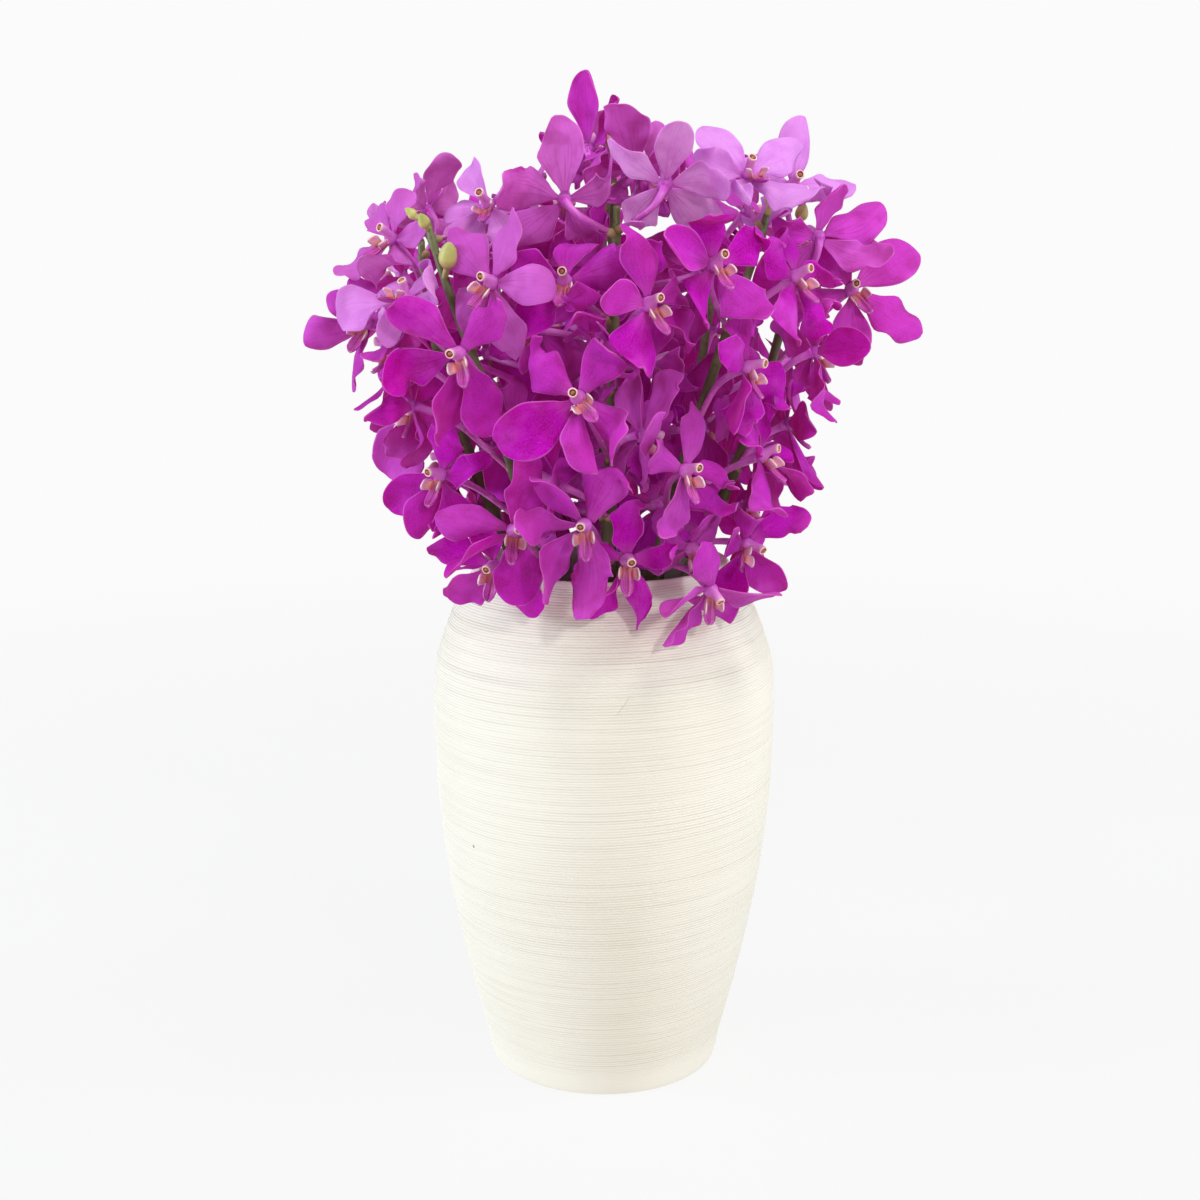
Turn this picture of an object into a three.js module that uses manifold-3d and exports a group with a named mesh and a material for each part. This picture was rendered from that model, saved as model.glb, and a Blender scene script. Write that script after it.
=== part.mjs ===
// Mokara orchids: nine cut sprays standing in water in a combed ceramic vase.
// Millimetres, Z up. The vase stands on Z = 0 and is seen from minus Y, with plus X to the right.
import * as THREE from 'three';
import Module from 'manifold-3d';

const wasm = await Module();
wasm.setup();

// Driving dimensions of the vase
const VASE_HEIGHT = 207;
const FOOT_RADIUS = 45;
const BELLY_RADIUS = 68;
const RIM_RADIUS = 49;
const MOUTH_RADIUS = 43;
const WALL = 6.5;
const FLOOR = 8;
const WATER_LEVEL = 150;
const GAP = 0.3;
const VASE_SIDES = 32;
const WATER_SIDES = 16;

// Driving dimensions of the sprays
const STEM_RADIUS = 2.6;
const STEM_TIP_RADIUS = 1.3;
const STEM_SIDES = 6;
const MOUTH_HEIGHT = 204;
const STEM_RINGS_IN_VASE = 2;
const STEM_RINGS_ABOVE = 5;
const PEDICEL_RADIUS = 1.1;
const TEPAL_LENGTH = 30;
const TEPAL_THICKNESS = 0.7;
const HEART_RADIUS = 2.9;
const GROWTH_STEPS = 12;
const TEPAL_AIM = [0, -72, -144, 144, 72];
const TEPAL_WIDTH = [0.3, 0.28, 0.32, 0.32, 0.28];
const ROUND_FROM = 0.6;

// How far a tepal keeps from what grows beside it
const CLEARANCE = 0.45;
const EDGE_ROOM = 0.4;
const LEAST_HALF = 0.3;
const TIP_ROOM = 1;
const TURN_AWAY = 6;
const DEPTH_WEIGHT = 3;
const NEAR = 64;
const OWN_STALK = 4;

const UP = new THREE.Vector3(0, 0, 1);

function radians(degrees) {
  return THREE.MathUtils.degToRad(degrees);
}

// A level direction, by its bearing from the viewer's side, and that direction tilted upward
function facing(turn, tilt = 0) {
  const level = Math.cos(radians(tilt));
  return new THREE.Vector3(
    Math.sin(radians(turn)) * level,
    -Math.cos(radians(turn)) * level,
    Math.sin(radians(tilt)),
  );
}

// A repeatable draw between 0 and 1
function dice(seed) {
  let state = (seed * 2654435761) >>> 0;
  return () => {
    state = (Math.imul(state, 1664525) + 1013904223) >>> 0;
    return state / 4294967296;
  };
}

// One bloom: where its heart is, where it faces, and the clockwise aim and length of its five
// tepals, in the order dorsal, left petal, left lateral, right lateral, right petal
function bloom(x, y, z, turn, tilt, aim, long) {
  return { heart: new THREE.Vector3(x, y, z), turn, tilt, aim, long };
}

// A bloom that others cover for the most part
function coveredBloom(...values) {
  return { ...bloom(...values), hidden: true };
}

// A bloom on a side that the viewer doesn't see, with evenly spread tepals turned by roll
function hiddenBloom(bearing, reach, height, turn, tilt, roll) {
  const heart = facing(bearing).multiplyScalar(reach);
  const aim = TEPAL_AIM.map((angle) => angle + roll);
  const long = TEPAL_AIM.map(() => TEPAL_LENGTH);
  return coveredBloom(heart.x, heart.y, height, turn, tilt, aim, long);
}

// How far out the hearts of the blooms sit at a height: narrow over the rim, widest at two thirds
function bunchReach(height) {
  const low = THREE.MathUtils.smoothstep(height, 205, 300);
  const high = THREE.MathUtils.smoothstep(height, 315, 385);
  return 54 + 34 * low - 44 * high;
}

// Blooms up a spray on the far side, left and right of the stem in turn
function bloomsUpASpray(bearing, lowest, count, seed) {
  const draw = dice(seed);
  const list = [];
  for (let k = 0; k < count; k += 1) {
    const height = lowest + k * 16.5 + 4 * draw();
    const side = k % 2 === 0 ? 1 : -1;
    const swing = side * (9 + 5 * draw());
    const depth = (k % 3) * 7 - 8;
    const tilt = -22 + 6.5 * k + 16 * draw();
    const turn = bearing + swing * 1.8 + 30 * (draw() - 0.5);
    const roll = 70 * (draw() - 0.5);
    list.push(hiddenBloom(bearing + swing, bunchReach(height) + depth, height, turn, tilt, roll));
  }
  return list;
}

// The nine sprays. from and to are the bearings of the stem at the mouth and at its tip, reach
// and top are the tip's distance from the axis and its height. A bud is how far below the tip it
// grows, its turn and tilt, its stalk's length and its size.
const SPRAYS = [
  {
    name: 'spray_front', from: 3, to: 5, mouth: 34, reach: 50, top: 343,
    buds: [],
    blooms: [
      bloom(-9, -88, 279, -4, 8, [-57, -127, -187, 135, 31], [28, 31, 25, 30, 25]),
      bloom(15, -80, 310, 35, 5, [-6, -75, -156, 116, 76], [29, 22, 26, 25, 31]),
      coveredBloom(-1, -66, 294, 96, 24, [-10, -93, -150, 140, 65], [24, 24, 24, 24, 24]),
      coveredBloom(13, -68, 264, 112, -18, [-24, -90, -150, 130, 46], [26, 26, 26, 28, 26]),
      bloom(-14, -60, 317, -8, 15, [5, -70, -140, 145, 75], [28, 28, 26, 26, 27]),
      coveredBloom(-18, -62, 246, -94, 12, [0, -72, -140, 150, 70], [28, 26, 28, 28, 26]),
      bloom(-7, -81, 234, -8, -10, [-35, -88, -134, -180, 30], [26, 26, 31, 31, 31]),
      bloom(8, -72, 220, 10, -12, [-6, -75, -150, 176, 84], [27, 24, 24, 30, 28]),
      bloom(-14, -52, 345, 180, 20, [4, -75, -150, 132, 75], [27, 26, 26, 28, 28]),
      bloom(21, -58, 350, 184, 34, [-6, -80, -133, 140, 54], [22, 24, 27, 25, 24]),
    ],
  },
  {
    name: 'spray_front_left', from: -34, to: -54, mouth: 36, reach: 78, top: 338,
    buds: [[0, -80, 15, 4, 0.5], [3, -20, 20, 3, 0.6], [20, 14, 32, 8, 1]],
    blooms: [
      bloom(-32, -74, 231, 14, -4, [10, -80, -114, 170, 85], [31, 27, 27, 26, 25]),
      coveredBloom(-40, -58, 215, -20, -14, [0, -65, -130, 140, 65], [22, 23, 22, 22, 22]),
      bloom(-50, -76, 293, -16, -10, [-52, -100, -166, 162, 40], [27, 31, 30, 30, 26]),
      bloom(-39, -70, 317, -34, 4, [26, -50, -130, 165, 90], [25, 27, 26, 28, 25]),
      bloom(-59, -54, 248, -36, -2, [29, -112, -158, -196, 80], [22, 26, 25, 28, 24]),
      bloom(-71, -52, 310, -32, 60, [0, -62, -109, 150, 73], [22, 24, 27, 24, 22]),
      bloom(-42, -34, 343, -24, 26, [-37, -92, -160, 140, 50], [19, 20, 24, 26, 20]),
      coveredBloom(-76, -44, 292, -102, 10, [20, -60, -125, 165, 85], [24, 25, 26, 25, 22]),
      coveredBloom(-70, -40, 271, -108, -14, [10, -60, -111, 165, 80], [24, 28, 28, 26, 24]),
    ],
  },
  {
    name: 'spray_front_right', from: 30, to: 55, mouth: 36, reach: 71, top: 340,
    buds: [[0, 20, 50, 4, 0.7]],
    blooms: [
      bloom(28, -74, 252, 40, 0, [31, -60, -160, 140, 92], [30, 24, 28, 27, 26]),
      bloom(31, -58, 222, 44, -30, [0, -80, -140, 123, 60], [26, 24, 26, 30, 25]),
      coveredBloom(38, -66, 208, 30, -40, [-20, -85, -150, 153, 96], [22, 22, 24, 28, 28]),
      bloom(38, -70, 323, 28, 16, [-5, -75, -140, 145, 70], [27, 25, 27, 27, 26]),
      bloom(50, -62, 287, 56, 0, [5, -70, -140, 176, 112], [28, 24, 26, 29, 28]),
      bloom(52, -46, 221, 46, -22, [43, -20, -80, -174, 140], [27, 24, 24, 22, 26]),
      bloom(57, -48, 254, 62, 10, [20, -60, -158, 122, 80], [24, 24, 27, 27, 28]),
      bloom(51, -45, 353, 22, 48, [-20, -84, -126, 140, 58], [24, 20, 24, 27, 25]),
      bloom(68, -48, 318, 48, 12, [0, -72, -146, 150, 72], [26, 24, 26, 26, 25]),
    ],
  },
  {
    name: 'spray_right', from: 84, to: 79, mouth: 34, reach: 73, top: 335,
    buds: [[0, 140, 50, 4, 0.7]],
    blooms: [
      bloom(69, -22, 350, 18, 20, [18, -70, -142, 146, 84], [24, 22, 26, 26, 23]),
      bloom(78, -30, 332, 200, 6, [-8, -74, -112, 150, 80], [20, 29, 28, 24, 24]),
      bloom(94, -6, 312, 14, 8, [-30, -108, -172, 124, 56], [22, 20, 28, 29, 32]),
      coveredBloom(78, -28, 290, 116, -8, [0, -75, -150, 150, 75], [24, 24, 26, 26, 24]),
      coveredBloom(70, -16, 262, 98, 6, [0, -80, -150, 130, 62], [24, 25, 26, 24, 26]),
      hiddenBloom(92, 56, 228, 84, -14, 10),
      hiddenBloom(108, 66, 248, 112, -4, -24),
      hiddenBloom(110, 80, 284, 118, 4, 20),
    ],
  },
  {
    name: 'spray_left', from: -83, to: -92, mouth: 34, reach: 70, top: 330,
    buds: [[0, -150, 50, 4, 0.7]],
    blooms: [
      bloom(-89, -16, 300, -26, -4, [6, -60, -115, -160, 70], [18, 18, 25, 25, 22]),
      bloom(-78, -26, 331, -44, 22, [10, -50, -125, 150, 80], [18, 22, 25, 26, 20]),
      coveredBloom(-68, 5, 342, -112, 24, [-2, -72, -144, 140, 68], [22, 24, 26, 26, 20]),
      hiddenBloom(-84, 50, 228, -84, -10, 13),
      hiddenBloom(-104, 64, 244, -108, -6, -20),
      hiddenBloom(-84, 74, 262, -80, 0, 16),
      hiddenBloom(-106, 82, 282, -112, 2, 0),
      hiddenBloom(-108, 84, 316, -116, 16, -30),
    ],
  },
  {
    name: 'spray_back_left', from: -138, to: -138, mouth: 34, reach: 68, top: 336,
    buds: [[8, -80, 45, 6, 0.9]],
    blooms: bloomsUpASpray(-138, 222, 7, 11),
  },
  {
    name: 'spray_back', from: 180, to: 180, mouth: 34, reach: 66, top: 342,
    buds: [[0, 120, 50, 5, 0.8]],
    blooms: bloomsUpASpray(180, 219, 7, 23),
  },
  {
    name: 'spray_back_right', from: 138, to: 138, mouth: 34, reach: 68, top: 332,
    buds: [[8, -170, 45, 6, 0.9]],
    blooms: bloomsUpASpray(138, 223, 8, 37),
  },
  {
    name: 'spray_middle', from: 20, to: 20, mouth: 3, reach: 9, top: 362,
    buds: [[0, -30, 60, 4, 0.7]],
    blooms: [
      bloom(-6, -10, 364, 166, 24, [-8, -58, -104, 132, 76], [26, 22, 20, 20, 17]),
      coveredBloom(12, -20, 356, 158, 40, [5, -72, -144, 144, 72], [27, 26, 24, 24, 26]),
      coveredBloom(36, 0, 352, 60, 42, [16, -72, -144, 144, 80], [23, 22, 24, 24, 24]),
      coveredBloom(14, -14, 353, 40, 78, [0, -72, -144, 144, 72], [21, 22, 24, 24, 23]),
      coveredBloom(-30, 6, 348, -80, 48, [0, -72, -144, 144, 72], [23, 24, 26, 26, 24]),
      coveredBloom(6, 22, 358, 170, 46, [10, -62, -134, 154, 82], [25, 25, 27, 27, 25]),
      hiddenBloom(-48, 34, 298, -136, 0, 20),
      hiddenBloom(34, 32, 286, 126, 4, -20),
      hiddenBloom(-4, 26, 322, 150, 20, 0),
      hiddenBloom(60, 40, 318, 150, 10, 30),
      hiddenBloom(-60, 42, 326, -150, 12, -10),
      hiddenBloom(10, 34, 258, 160, -6, 12),
      hiddenBloom(58, 44, 262, 140, 0, -14),
      hiddenBloom(-52, 42, 262, -140, -4, 8),
      hiddenBloom(-113, 50, 286, 170, 6, 16),
      hiddenBloom(-131, 18, 298, -165, 12, -24),
      hiddenBloom(-90, 18, 229, 175, -10, 30),
      hiddenBloom(-85, 46, 251, -160, 0, -8),
      hiddenBloom(58, 24, 230, 165, -12, 20),
    ],
  },
];

// A closed body made of rings of points, skinned one to the next
class Body {
  constructor() {
    this.points = [];
    this.triangles = [];
  }

  ring(points) {
    const first = this.points.length;
    this.points.push(...points);
    return points.map((_, i) => first + i);
  }

  // Skins two rings that run anticlockwise about the way from lower to upper
  skin(lower, upper) {
    for (let k = 0; k < lower.length; k += 1) {
      const next = (k + 1) % lower.length;
      this.triangles.push([lower[k], lower[next], upper[next]], [lower[k], upper[next], upper[k]]);
    }
  }

  // Skins a stretch of a thin blade between two rings of back right, back left, front left and
  // front right. The diagonals of its back and front run the same way, so a twisted blade keeps
  // its thickness.
  skinBlade(lower, upper) {
    const [a, b, c, d] = lower;
    const [e, f, g, h] = upper;
    this.triangles.push([a, b, f], [a, f, e], [b, c, g], [b, g, f]);
    this.triangles.push([c, d, g], [d, h, g], [d, a, e], [d, e, h]);
  }

  cap(ring, outward = true) {
    for (let k = 1; k + 1 < ring.length; k += 1) {
      const corners = [ring[0], ring[k], ring[k + 1]];
      this.triangles.push(outward ? corners : corners.reverse());
    }
  }

  solid() {
    const vertProperties = new Float32Array(this.points.flatMap((p) => [p.x, p.y, p.z]));
    const triVerts = new Uint32Array(this.triangles.flat());
    return new wasm.Manifold(new wasm.Mesh({ numProp: 3, vertProperties, triVerts }));
  }
}

// Points of a regular ring round a centre, in the plane of two directions
function circle(centre, right, up, radius, sides, start = 0) {
  const points = [];
  for (let k = 0; k < sides; k += 1) {
    const angle = radians(start + (360 / sides) * k);
    points.push(centre.clone()
      .addScaledVector(right, radius * Math.cos(angle))
      .addScaledVector(up, radius * Math.sin(angle)));
  }
  return points;
}

// A tube along a path, with a radius for each of its points
function tube(path, radii, sides) {
  const body = new Body();
  let lower = null;
  const across = new THREE.Vector3(1, 0, 0);
  path.forEach((centre, k) => {
    const ahead = path[Math.min(k + 1, path.length - 1)];
    const behind = path[Math.max(k - 1, 0)];
    const along = ahead.clone().sub(behind).normalize();
    const right = across.clone().addScaledVector(along, -across.dot(along)).normalize();
    const up = along.clone().cross(right);
    const ring = body.ring(circle(centre, right, up, radii[k], sides));
    if (lower) {
      body.skin(lower, ring);
    } else {
      body.cap(ring, false);
    }
    lower = ring;
  });
  body.cap(lower);
  return body.solid();
}

// Where a stem's centre is at a height: straight in the vase, bowing outward above the mouth
function stemAt(spray, height) {
  if (height <= MOUTH_HEIGHT) {
    const share = (height - FLOOR) / (MOUTH_HEIGHT - FLOOR);
    const reach = spray.mouth * (0.45 + 0.55 * share);
    return facing(spray.from).multiplyScalar(reach).setZ(height);
  }
  const share = (height - MOUTH_HEIGHT) / (spray.top - MOUTH_HEIGHT);
  const reach = spray.mouth + (spray.reach - spray.mouth) * (1 - (1 - share) ** 1.6);
  const bearing = spray.from + (spray.to - spray.from) * share * share;
  return facing(bearing).multiplyScalar(reach).setZ(height);
}

function stemHeights(spray) {
  const heights = [];
  const foot = FLOOR + GAP;
  for (let k = 0; k < STEM_RINGS_IN_VASE; k += 1) {
    heights.push(foot + ((MOUTH_HEIGHT - foot) * k) / STEM_RINGS_IN_VASE);
  }
  for (let k = 0; k <= STEM_RINGS_ABOVE; k += 1) {
    heights.push(MOUTH_HEIGHT + ((spray.top - MOUTH_HEIGHT) * k) / STEM_RINGS_ABOVE);
  }
  return heights;
}

function stemRadius(spray, height) {
  const share = THREE.MathUtils.clamp((height - MOUTH_HEIGHT) / (spray.top - MOUTH_HEIGHT), 0, 1);
  return STEM_RADIUS + (STEM_TIP_RADIUS - STEM_RADIUS) * share;
}

function stemSolid(spray) {
  const heights = stemHeights(spray);
  const path = heights.map((height) => stemAt(spray, height));
  const radii = heights.map((height) => stemRadius(spray, height));
  return tube(path, radii, STEM_SIDES);
}

// Frame of a bloom: right and up as its viewer sees them, and the way that it faces
function bloomFrame(flower) {
  const face = facing(flower.turn, flower.tilt);
  const up = UP.clone().addScaledVector(face, -face.z).normalize();
  const right = up.clone().cross(face);
  return { face, up, right };
}

// The stalk runs from the stem to the back of the bloom, and arrives from straight behind it
function pedicelPath(spray, flower) {
  const face = facing(flower.turn, flower.tilt);
  const lowest = MOUTH_HEIGHT + 8;
  const drop = 0.45 * Math.hypot(flower.heart.x, flower.heart.y) - 12;
  const height = THREE.MathUtils.clamp(flower.heart.z - Math.max(drop, 6), lowest, spray.top - 3);
  const root = stemAt(spray, height);
  const back = flower.heart.clone().addScaledVector(face, -1);
  const bend = back.clone().addScaledVector(face, -7).lerp(root, 0.3);
  return [root, bend, back];
}

// The outline of the vase from the middle of its foot up to the rim and down the inside
const VASE_OUTSIDE = [
  [FOOT_RADIUS - 0.6, 0], [FOOT_RADIUS + 1, 2], [50.3, 20], [58.3, 53], [64, 86], [67.5, 124],
  [BELLY_RADIUS, 152], [66.4, 169], [62, 184], [56, 197], [RIM_RADIUS, 206],
];
const RIM_TOP = [46, VASE_HEIGHT];
const VASE_INSIDE = [
  [MOUTH_RADIUS, 202], [54, 186], [BELLY_RADIUS - WALL, 158], [67.5 - WALL, 124],
  [58.3 - WALL, 53], [50.3 - WALL, 20], [38, FLOOR],
];

// A wall is a plane that a bloom stays behind: outward unit normal and distance from the origin
function wallAt(point, away) {
  return { away, reach: away.dot(point) - CLEARANCE };
}

// The wall between two blooms stands nearer square to the way that they face than to the line
// between them, so that one bloom spreads in front of the other
function wallBetween(flower, other) {
  const toOther = other.heart.clone().sub(flower.heart);
  const ahead = facing(flower.turn, flower.tilt).add(facing(other.turn, other.tilt));
  const away = toOther.clone();
  if (ahead.length() > 0.5) {
    ahead.normalize();
    away.addScaledVector(ahead, (DEPTH_WEIGHT - 1) * toOther.dot(ahead));
  }
  const middle = flower.heart.clone().addScaledVector(toOther, 0.5);
  return wallAt(middle, away.normalize());
}

function nearestOnLine(point, start, end) {
  return new THREE.Line3(start, end).closestPointToPoint(point, true, new THREE.Vector3());
}

// A wall in front of a straight piece of stem or stalk
function wallBeforeRod(flower, start, end, radius) {
  const nearest = nearestOnLine(flower.heart, start, end);
  const away = nearest.clone().sub(flower.heart).normalize();
  return wallAt(nearest.addScaledVector(away, -radius), away);
}

// The wall that touches the shoulder or the rim of the vase where the bloom is nearest to it
function wallBeforeVase(flower) {
  const reach = Math.hypot(flower.heart.x, flower.heart.y);
  const outward = new THREE.Vector3(flower.heart.x, flower.heart.y, 0).normalize();
  const here = new THREE.Vector3(reach, 0, flower.heart.z);
  const profile = [...VASE_OUTSIDE, RIM_TOP, [0, VASE_HEIGHT]];
  const outline = profile.map(([radius, height]) => new THREE.Vector3(radius, 0, height));
  let nearest = outline[0];
  for (let k = 0; k + 1 < outline.length; k += 1) {
    const point = nearestOnLine(here, outline[k], outline[k + 1]);
    if (point.distanceTo(here) < nearest.distanceTo(here)) {
      nearest = point;
    }
  }
  const point = outward.multiplyScalar(nearest.x).setZ(nearest.z);
  return wallAt(point, point.clone().sub(flower.heart).normalize());
}

function wallsRound(flower) {
  const walls = [wallBeforeVase(flower)];
  for (const spray of SPRAYS) {
    const heights = stemHeights(spray).filter((height) => height >= MOUTH_HEIGHT - 1);
    for (let k = 0; k + 1 < heights.length; k += 1) {
      const start = stemAt(spray, heights[k]);
      const end = stemAt(spray, heights[k + 1]);
      if (nearestOnLine(flower.heart, start, end).distanceTo(flower.heart) < NEAR / 2) {
        walls.push(wallBeforeRod(flower, start, end, STEM_RADIUS));
      }
    }
    for (const other of spray.blooms) {
      if (other === flower) {
        continue;
      }
      if (other.heart.distanceTo(flower.heart) < NEAR) {
        walls.push(wallBetween(flower, other));
      }
      const stalk = pedicelPath(spray, other);
      for (let k = 0; k < 2; k += 1) {
        const nearest = nearestOnLine(flower.heart, stalk[k], stalk[k + 1]);
        const far = nearest.distanceTo(flower.heart);
        if (far < NEAR / 2 && far > OWN_STALK) {
          walls.push(wallBeforeRod(flower, stalk[k], stalk[k + 1], PEDICEL_RADIUS * 1.4));
        }
      }
    }
  }
  return walls;
}

// Width of a tepal along its length as a share of its widest: a narrow claw, broad past the
// middle, a round tip
function tepalOutline(share) {
  const claw = 0.28 + 0.72 * THREE.MathUtils.smoothstep(share, 0, 0.56);
  const past = Math.max(share - ROUND_FROM, 0) / (1 - ROUND_FROM);
  return claw * Math.sqrt(Math.max(0, 1 - past ** 2));
}

// Grows the midrib of a tepal step by step. It curls back, most of all near its tip, sways and
// twists as drawn, and turns aside where a wall is near. There the blade lies along the wall, and
// on the wall's side it is no wider than the room that is left.
function growTepal(heart, start, heading, side, habit, walls, wedge) {
  const at = start.clone();
  const ahead = heading.clone();
  const across = side.clone();
  const allWalls = [...walls, ...wedge];
  const trail = [];
  for (let k = 0; k <= GROWTH_STEPS; k += 1) {
    const half = habit.half * tepalOutline(k / GROWTH_STEPS);
    for (const wall of allWalls) {
      const room = wall.reach - wall.away.dot(at);
      const lean = wall.away.dot(across);
      const most = Math.max(room - EDGE_ROOM, LEAST_HALF) / Math.max(half, 0.1);
      if (Math.abs(lean) > most) {
        across.addScaledVector(wall.away, -(lean - Math.sign(lean) * most));
      }
    }
    across.addScaledVector(ahead, -across.dot(ahead)).normalize();
    const halves = { right: half, left: half };
    for (const wall of allWalls) {
      const room = wall.reach - wall.away.dot(at);
      const lean = wall.away.dot(across);
      const most = Math.max(room - EDGE_ROOM, LEAST_HALF) / Math.max(Math.abs(lean), 0.05);
      const towards = lean > 0 ? 'right' : 'left';
      halves[towards] = Math.min(halves[towards], most);
    }
    const face = across.clone().cross(ahead);
    at.copy(keepInside(at, heart, walls, TEPAL_THICKNESS));
    trail.push({ at: at.clone(), across: across.clone(), face, halves });
    const bend = 0.3 + (1.4 * k) / GROWTH_STEPS;
    ahead.applyAxisAngle(across, radians((-habit.curl * bend) / GROWTH_STEPS));
    ahead.applyAxisAngle(face, radians(habit.sway / GROWTH_STEPS));
    across.applyAxisAngle(ahead, radians(habit.twist / GROWTH_STEPS));
    for (const wall of allWalls) {
      const room = wall.reach - wall.away.dot(at) - TIP_ROOM;
      const into = wall.away.dot(ahead);
      const most = Math.max(room, 0) / TURN_AWAY;
      if (into > most) {
        ahead.addScaledVector(wall.away, most - into);
      }
    }
    ahead.normalize();
    at.addScaledVector(ahead, habit.length / GROWTH_STEPS);
  }
  return trail;
}

// A point past a wall is drawn back toward the heart of the bloom
function keepInside(point, heart, walls, spare = 0) {
  let share = 1;
  const arm = point.clone().sub(heart);
  for (const wall of walls) {
    const outward = wall.away.dot(arm);
    const room = wall.reach - spare - wall.away.dot(heart);
    if (outward > room) {
      share = Math.min(share, room / outward);
    }
  }
  return heart.clone().addScaledVector(arm, share);
}

// The way each tepal of a bloom grows, from a draw of its own
function tepalHabit(flower, index, draw) {
  const length = flower.long[index] * (0.97 + 0.06 * draw());
  return {
    length,
    half: length * TEPAL_WIDTH[index] * (0.92 + 0.16 * draw()),
    curl: -20 + 78 * draw(),
    sway: 34 * (draw() - 0.5),
    twist: 90 * (draw() - 0.5),
    lean: -4 + 26 * draw(),
  };
}

// The walls between a tepal and the two beside it in the same bloom
const WEDGE_GAP = 0.15;

function wedgeWalls(flower, index, frame) {
  const turnTo = (other) => {
    const turn = flower.aim[other] - flower.aim[index];
    return ((turn + 540) % 360) - 180;
  };
  return [1, 4].map((step) => {
    const half = turnTo((index + step) % TEPAL_AIM.length) / 2;
    const angle = radians(90 - flower.aim[index] - half - Math.sign(half) * 90);
    const away = frame.right.clone().multiplyScalar(Math.cos(angle))
      .addScaledVector(frame.up, Math.sin(angle));
    return { away, reach: away.dot(flower.heart) - WEDGE_GAP };
  });
}

// Growth steps at which the faceted blade has its corners, and how wide it ends
const STATIONS = [5, 9, 12];
const FEW_STATIONS = [7, 12];
const END_HALF = 0.42;

// A tepal is one thin blade with four corners at each station. A blade that has turned over
// since the last station is taken by its other rim, so its rings never cross.
function addTepal(body, root, flower, index, frame, walls, draw) {
  const habit = tepalHabit(flower, index, draw);
  const angle = radians(90 - flower.aim[index]);
  const level = frame.right.clone().multiplyScalar(Math.cos(angle))
    .addScaledVector(frame.up, Math.sin(angle));
  const side = level.clone().cross(frame.face);
  const start = flower.heart.clone().addScaledVector(level, HEART_RADIUS * 0.8);
  const heading = level.clone().multiplyScalar(Math.cos(radians(habit.lean)))
    .addScaledVector(frame.face, Math.sin(radians(habit.lean)));
  const wedge = wedgeWalls(flower, index, frame);
  const trail = growTepal(flower.heart, start, heading, side, habit, walls, wedge);
  let lower = root;
  let before = side;
  for (const station of flower.hidden ? FEW_STATIONS : STATIONS) {
    const { at, across, face } = trail[station];
    let { right, left } = trail[station].halves;
    if (station === GROWTH_STEPS) {
      const near = trail[station - 2].halves;
      right = Math.min(habit.half * END_HALF, near.right);
      left = Math.min(habit.half * END_HALF, near.left);
    }
    const turn = across.dot(before) < 0 ? -1 : 1;
    const rims = [turn < 0 ? -left : right, turn < 0 ? right : -left].map((sideways) => (
      keepInside(at.clone().addScaledVector(across, sideways), flower.heart, walls,
        TEPAL_THICKNESS / 2)));
    const corner = (rim, front) => rims[rim].clone()
      .addScaledVector(face, (turn * front * TEPAL_THICKNESS) / 2);
    const ring = body.ring([corner(0, -1), corner(1, -1), corner(1, 1), corner(0, 1)]);
    body.skinBlade(lower, ring);
    before = across.clone().multiplyScalar(turn);
    lower = ring;
  }
  body.cap(lower);
}

// Heart, column and lip, in the bloom's own frame: right, up, forward
const COLUMN_TIP = [[1.4, 2.6, 7.4], [-1.4, 2.6, 7.4], [-1.2, 0.4, 8.4], [1.2, 0.4, 8.4]];
const LIP_RINGS = [
  [[-4.4, -2.6, 6], [0, -6, 3], [4.4, -2.6, 6]],
  [[-2.4, -9.6, 7.8], [0, -10.8, 6.4], [2.4, -9.6, 7.8]],
];

function bloomSolid(spray, flower, number) {
  const frame = bloomFrame(flower);
  const walls = wallsRound(flower);
  const draw = dice(number);
  const body = new Body();
  const local = ([x, y, z]) => keepInside(flower.heart.clone()
    .addScaledVector(frame.right, x)
    .addScaledVector(frame.up, y)
    .addScaledVector(frame.face, z), flower.heart, walls);

  const roll = -middleTurn(flower.aim);
  const [root, bend, back] = pedicelPath(spray, flower);
  const along = back.clone().sub(root).normalize();
  const right = frame.right.clone().addScaledVector(along, -frame.right.dot(along)).normalize();
  const up = along.clone().cross(right);
  const start = 54 + roll;
  const rootRing = body.ring(circle(root, right, up, PEDICEL_RADIUS, 5, start));
  const bendRing = body.ring(circle(bend, right, up, PEDICEL_RADIUS * 1.3, 5, start));
  const backRing = body.ring(
    circle(back, frame.right, frame.up, HEART_RADIUS * 0.8, 5, start));
  const frontRing = body.ring(circle(flower.heart.clone().addScaledVector(frame.face, 0.8),
    frame.right, frame.up, HEART_RADIUS, 5, start));
  body.cap(rootRing, false);
  body.skin(rootRing, bendRing);
  body.skin(bendRing, backRing);

  for (let index = 0; index < TEPAL_AIM.length; index += 1) {
    const next = (index + 1) % TEPAL_AIM.length;
    const quad = [backRing[index], backRing[next], frontRing[next], frontRing[index]];
    addTepal(body, quad, flower, index, frame, walls, draw);
  }

  const turned = ([x, y, z]) => {
    const angle = radians(roll);
    return [x * Math.cos(angle) - y * Math.sin(angle), x * Math.sin(angle) + y * Math.cos(angle), z];
  };
  const [p0, p1, p2, p3, p4] = frontRing;
  const columnTip = body.ring(COLUMN_TIP.map((point) => local(turned(point))));
  body.skin([p0, p1, p2, p4], columnTip);
  body.cap(columnTip);
  let lower = [p2, p3, p4];
  for (const points of LIP_RINGS) {
    const ring = body.ring(points.map((point) => local(turned(point))));
    body.skin(lower, ring);
    lower = ring;
  }
  body.cap(lower);
  return body.solid();
}

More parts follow.
